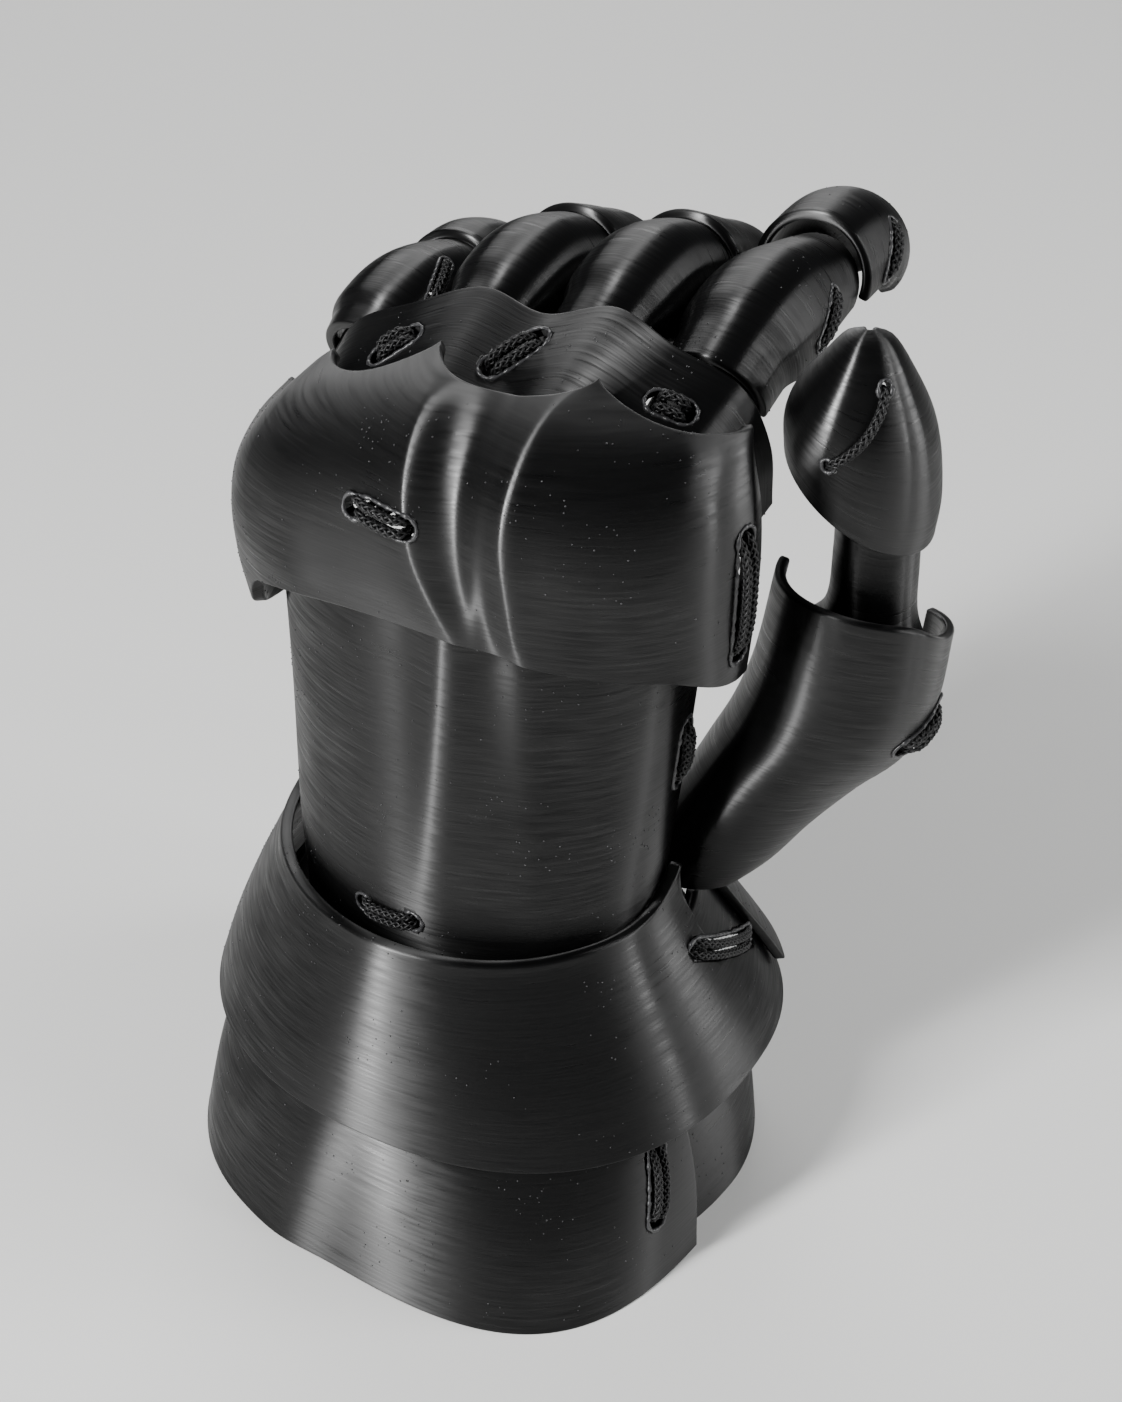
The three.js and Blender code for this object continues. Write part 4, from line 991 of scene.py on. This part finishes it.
# %% [markdown]
# The yarn is spun nylon: nearly black and a little fuzzy, with a small glint on each turn. Each tie
# starts inside the plate, comes up through its slot, lies over the face and goes down again. Doubled
# ties are two such cords side by side.

# %% Cord material and the ties
yarn_tones = (0.002, 0.002, 0.0022), (0.007, 0.007, 0.0075)
cord_black, tree, shade, fibre = two_tone("braided_cord", 3500, *yarn_tones)
feeds = [("Value", fibre), ("To Min", 0.38), ("To Max", 0.6)]
spread = add(tree, "ShaderNodeMapRange", feeds, location=(-300, -50)).outputs[0]
feeds = [("Height", fibre), ("Strength", 0.4), ("Distance", 0.00005)]
rise = add(tree, "ShaderNodeBump", feeds, location=(-300, -300)).outputs[0]
feed(tree, shade, [("Specular IOR Level", 0.35), ("Roughness", spread), ("Normal", rise)])


def blend(a, b, start, stop, s):
    return (stop - s) / (stop - start) * a + (s - start) / (stop - start) * b


def smooth_path(points, per_span=8):
    """A flowing line through the points, with each span's speed set by its length."""
    p = np.array(points, float)
    p = np.vstack([2 * p[0] - p[1], p, 2 * p[-1] - p[-2]])
    line = []
    for k in range(1, len(p) - 2):
        a, b, c, d = p[k - 1], p[k], p[k + 1], p[k + 2]
        gaps = [np.sqrt(np.linalg.norm(q - r)) + 1e-6 for q, r in ((b, a), (c, b), (d, c))]
        t = np.cumsum([0] + gaps)
        for s in np.linspace(t[1], t[2], per_span, endpoint=False):
            ab, bc = blend(a, b, t[0], t[1], s), blend(b, c, t[1], t[2], s)
            cd = blend(c, d, t[2], t[3], s)
            abc, bcd = blend(ab, bc, t[0], t[2], s), blend(bc, cd, t[1], t[3], s)
            line.append(blend(abc, bcd, t[1], t[2], s))
    line.append(p[-2])
    return np.array(line)


def strand_route(t, side, spare):
    wall, r = walls[t["on"]], CORD_RADIUS
    inside = -(wall + r + 0.9)
    hump = r + 0.15 + spare
    rows = (
        (0.42, inside), (0.22, inside), (0.05, inside * 0.85), (0.0, -wall * 0.55), (0.05, 0.1),
        (0.2, hump * 0.8), (0.5, hump), (0.8, hump * 0.8), (0.95, 0.1), (1.0, -wall * 0.55),
        (0.95, inside * 0.85), (0.78, inside), (0.58, inside),
    )
    return smooth_path([on_plate(t, s, lift, side * (1 + 0.06 * math.sin(3 * s))) for s, lift in rows])


BRAID = {"Cord_Radius": 0.0007, "Yarn_Radius": 0.00029, "Turns_per_Metre": 150.0}
STRANDS_APART = CORD_RADIUS * 1.22
cord_objects = []
for t in ties:
    sides = (0.0,) if t["strands"] == 1 else (-STRANDS_APART, STRANDS_APART)
    points, edges = [], []
    for k, side in enumerate(sides):
        path = (strand_route(t, side, 0.35 * k) + MOVE) / 1000
        edges += [(len(points) + i, len(points) + i + 1) for i in range(len(path) - 1)]
        points += path.tolist()
    obj = shape(t["name"] + "_braid", points, edges, [])
    run_tree(obj, braid_tree, **BRAID, Material=cord_black)
    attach(obj, "root")
    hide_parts(t["name"])
    cord_objects.append(obj)
print("braided ties:", len(cord_objects), "faces:", sum(len(o.data.polygons) for o in cord_objects))

# %% [markdown]
# The nozzle leaves a small bead where it turns round a hole, so each slot has a raised uneven lip.
# It is a bead that follows a path, which is a job for a node tree too: the path is made even, its
# thickness wanders with a noise, and a round profile runs along it.


# %% Node tree for a bead of plastic along a path
bead = Tree("Bead along a path", [
    ("Radius", "Float", 0.0004), ("Roughness", "Float", 0.5), ("Material", "Material", None),
])
given, maths, node = bead.given, bead.maths, bead.node
path = node("GeometryNodeMeshToCurve", [("Mesh", given["Geometry"])])
feeds = [("Curve", path.outputs[0]), ("Length", 0.00035)]
even = node("GeometryNodeResampleCurve", feeds, mode="LENGTH")
wander = node("ShaderNodeTexNoise", [("Scale", 900.0), ("Detail", 1.0)])
feeds = [("Value", wander.outputs[0]), ("From Min", 0.3), ("From Max", 0.7)]
feeds.append(("To Min", maths("SUBTRACT", 1.0, given["Roughness"])))
feeds.append(("To Max", maths("ADD", 1.0, given["Roughness"])))
thick = node("ShaderNodeMapRange", feeds)
ring = node("GeometryNodeCurvePrimitiveCircle", [("Resolution", 7), ("Radius", given["Radius"])])
feeds = [("Curve", even.outputs[0]), ("Profile Curve", ring.outputs[0]), ("Scale", thick.outputs[0])]
bead_tree = bead.finish(node("GeometryNodeCurveToMesh", feeds).outputs[0])
print("bead tree has", len(bead_tree.nodes), "nodes")


# %% Lips round the slots
LIP_OUTSIDE, LIP_LIFT = 0.12, 0.05
holes = [(t, *slot) for t in ties for slot in slots_of(t)]
points, edges = [], []
for t, s0, s1, half in holes:
    loop = (slot_rim(t, s0, s1, half + LIP_OUTSIDE, LIP_LIFT) + MOVE) / 1000
    n = len(loop)
    edges += [(len(points) + i, len(points) + (i + 1) % n) for i in range(n)]
    points += loop.tolist()
lips = shape("slot_lips", points, edges, [])
# The lips take the bead plastic, whose lighter tone is a painted glint
run_tree(lips, bead_tree, Radius=0.00042, Roughness=0.45, Material=bead_plastic_painted_glint)
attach(lips, "root")
print("lips:", len(holes), "faces:", len(lips.data.polygons))

# %% [markdown]
# A home printer also leaves tiny blobs where a layer starts. They catch real highlights, and their tone,
# lighter than the plates', adds a painted glint.
# They are far too many to place by hand, so a node tree scatters them over the plates with a fixed
# seed, thickly in some patches and hardly at all in others.

# %% Node tree that scatters blobs
specks = Tree("Scatter blobs", [
    ("Density", "Float", 40000.0), ("Blob Radius", "Float", 0.00016), ("Seed", "Int", 7),
    ("Material", "Material", None),
])
given, maths, node = specks.given, specks.maths, specks.node
patch = node("ShaderNodeTexNoise", [("Scale", 60.0), ("Detail", 2.0)])
feeds = [("Value", patch.outputs[0]), ("From Min", 0.48), ("From Max", 0.68)]
many = maths("MULTIPLY", node("ShaderNodeMapRange", feeds).outputs[0], given["Density"])
feeds = [("Mesh", given["Geometry"]), ("Density", many), ("Seed", given["Seed"])]
spots = node("GeometryNodeDistributePointsOnFaces", feeds)
drop = node("GeometryNodeMeshIcoSphere", [("Radius", given["Blob Radius"]), ("Subdivisions", 1)])
size = node("FunctionNodeRandomValue", [(2, 0.5), (3, 1.3), ("Seed", 3)], data_type="FLOAT")
feeds = [("Points", spots.outputs["Points"]), ("Instance", drop.outputs["Mesh"])]
blobs = node("GeometryNodeInstanceOnPoints", [*feeds, ("Scale", size.outputs[1])])
speck_tree = specks.finish(blobs.outputs[0])
print("blob tree has", len(speck_tree.nodes), "nodes")


# %% Blobs on the plates
LOWEST_BLOB = 0.002
speck_names = [n for n in built if n.startswith(("cuff", "hand", "knuckle", "index", "finger"))]
verts, faces = [], []
for name in speck_names:
    mesh = built[name].data
    corners = np.zeros(len(mesh.vertices) * 3)
    mesh.vertices.foreach_get("co", corners)
    faces += [[v + len(verts) for v in f.vertices] for f in mesh.polygons if f.center.z > LOWEST_BLOB]
    verts += corners.reshape(-1, 3).tolist()
speck_piece = shape("print_specks", verts, [], faces)
# The blobs take the bead plastic, whose lighter tone is a painted glint
run_tree(speck_piece, speck_tree, Density=150000.0, Blob_Radius=0.00018, Seed=7, Material=bead_plastic_painted_glint)
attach(speck_piece, "root")
print("blobs:", len(speck_piece.data.polygons) // 20)

# %% [markdown]
# The photograph looks down on the back of the hand from the front right. The camera is set by its own
# three directions, so its turn is exact, and its lens gives the same size in the picture.

# %% Camera
RIGHT, UP_WAY = Vector((0.8660, 0.5, 0)), Vector((-0.3078, 0.5332, 0.7880))
BACK = RIGHT.cross(UP_WAY)
DISTANCE, AIM_SIDE, AIM_HEIGHT = 0.52, 14.5, 121
FOCAL_PIXELS, PICTURE_HEIGHT, SENSOR = 2444, 1402, 36
target = Vector((AIM_SIDE + MOVE[0], MOVE[1], AIM_HEIGHT)) / 1000
camera_data = bpy.data.cameras.new("view")
camera_data.sensor_fit = "VERTICAL"
camera_data.sensor_height = SENSOR
camera_data.lens = FOCAL_PIXELS / PICTURE_HEIGHT * SENSOR
camera = put("view", camera_data)
turn = Matrix((RIGHT, UP_WAY, BACK)).transposed().to_4x4()
camera.matrix_world = Matrix.Translation(target + BACK * DISTANCE) @ turn
bpy.context.scene.camera = camera
print("camera at", [round(c, 3) for c in camera.location])

# %% [markdown]
# Black plastic shows mostly what it mirrors. One tall narrow light on the left draws the streaks down
# the left of the cuff and along the ridges. Two on the right draw the sheen on that side, and a broad
# weak one behind shows the domes and the palm side. The floor is plain and pale.


# %% Floor and lights
LIGHTS_AIM = Vector((0, 0, 0.11))
FLOOR_HALF = 3


def softbox(name, place, size, power):
    data = bpy.data.lights.new(name, "AREA")
    data.shape, data.size, data.size_y, data.energy = "RECTANGLE", size[0], size[1], power
    obj = put(name, data)
    obj.location = place
    obj.rotation_euler = (LIGHTS_AIM - Vector(place)).to_track_quat("-Z", "Y").to_euler()


for name, place, size, watts in (
    ("left_light", (-0.40, -0.92, 0.66), (0.09, 1.25), 32),
    ("rim_light", (0.86, 0.52, 0.58), (0.26, 1.1), 8),
    ("edge_light", (1.02, 0.14, 0.62), (0.07, 1.1), 5),
    ("back_fill", (-0.75, 1.0, 0.95), (0.9, 0.9), 11),
):
    softbox(name, place, size, watts)
world = bpy.data.worlds.new("studio")
bpy.context.scene.world = world
world.use_nodes = True
world.node_tree.nodes["Background"].inputs["Color"].default_value = (0.75, 0.77, 0.8, 1)
world.node_tree.nodes["Background"].inputs["Strength"].default_value = 0.1
ends = ((-1, -1), (1, -1), (1, 1), (-1, 1))
floor = shape("floor", [(x * FLOOR_HALF, y * FLOOR_HALF, 0) for x, y in ends], [], [(0, 1, 2, 3)])
pale, tree, shade = principled("pale_floor")
feed(tree, shade, [("Base Color", (0.72, 0.72, 0.71, 1)), ("Roughness", 0.85)])
floor.data.materials.append(pale)
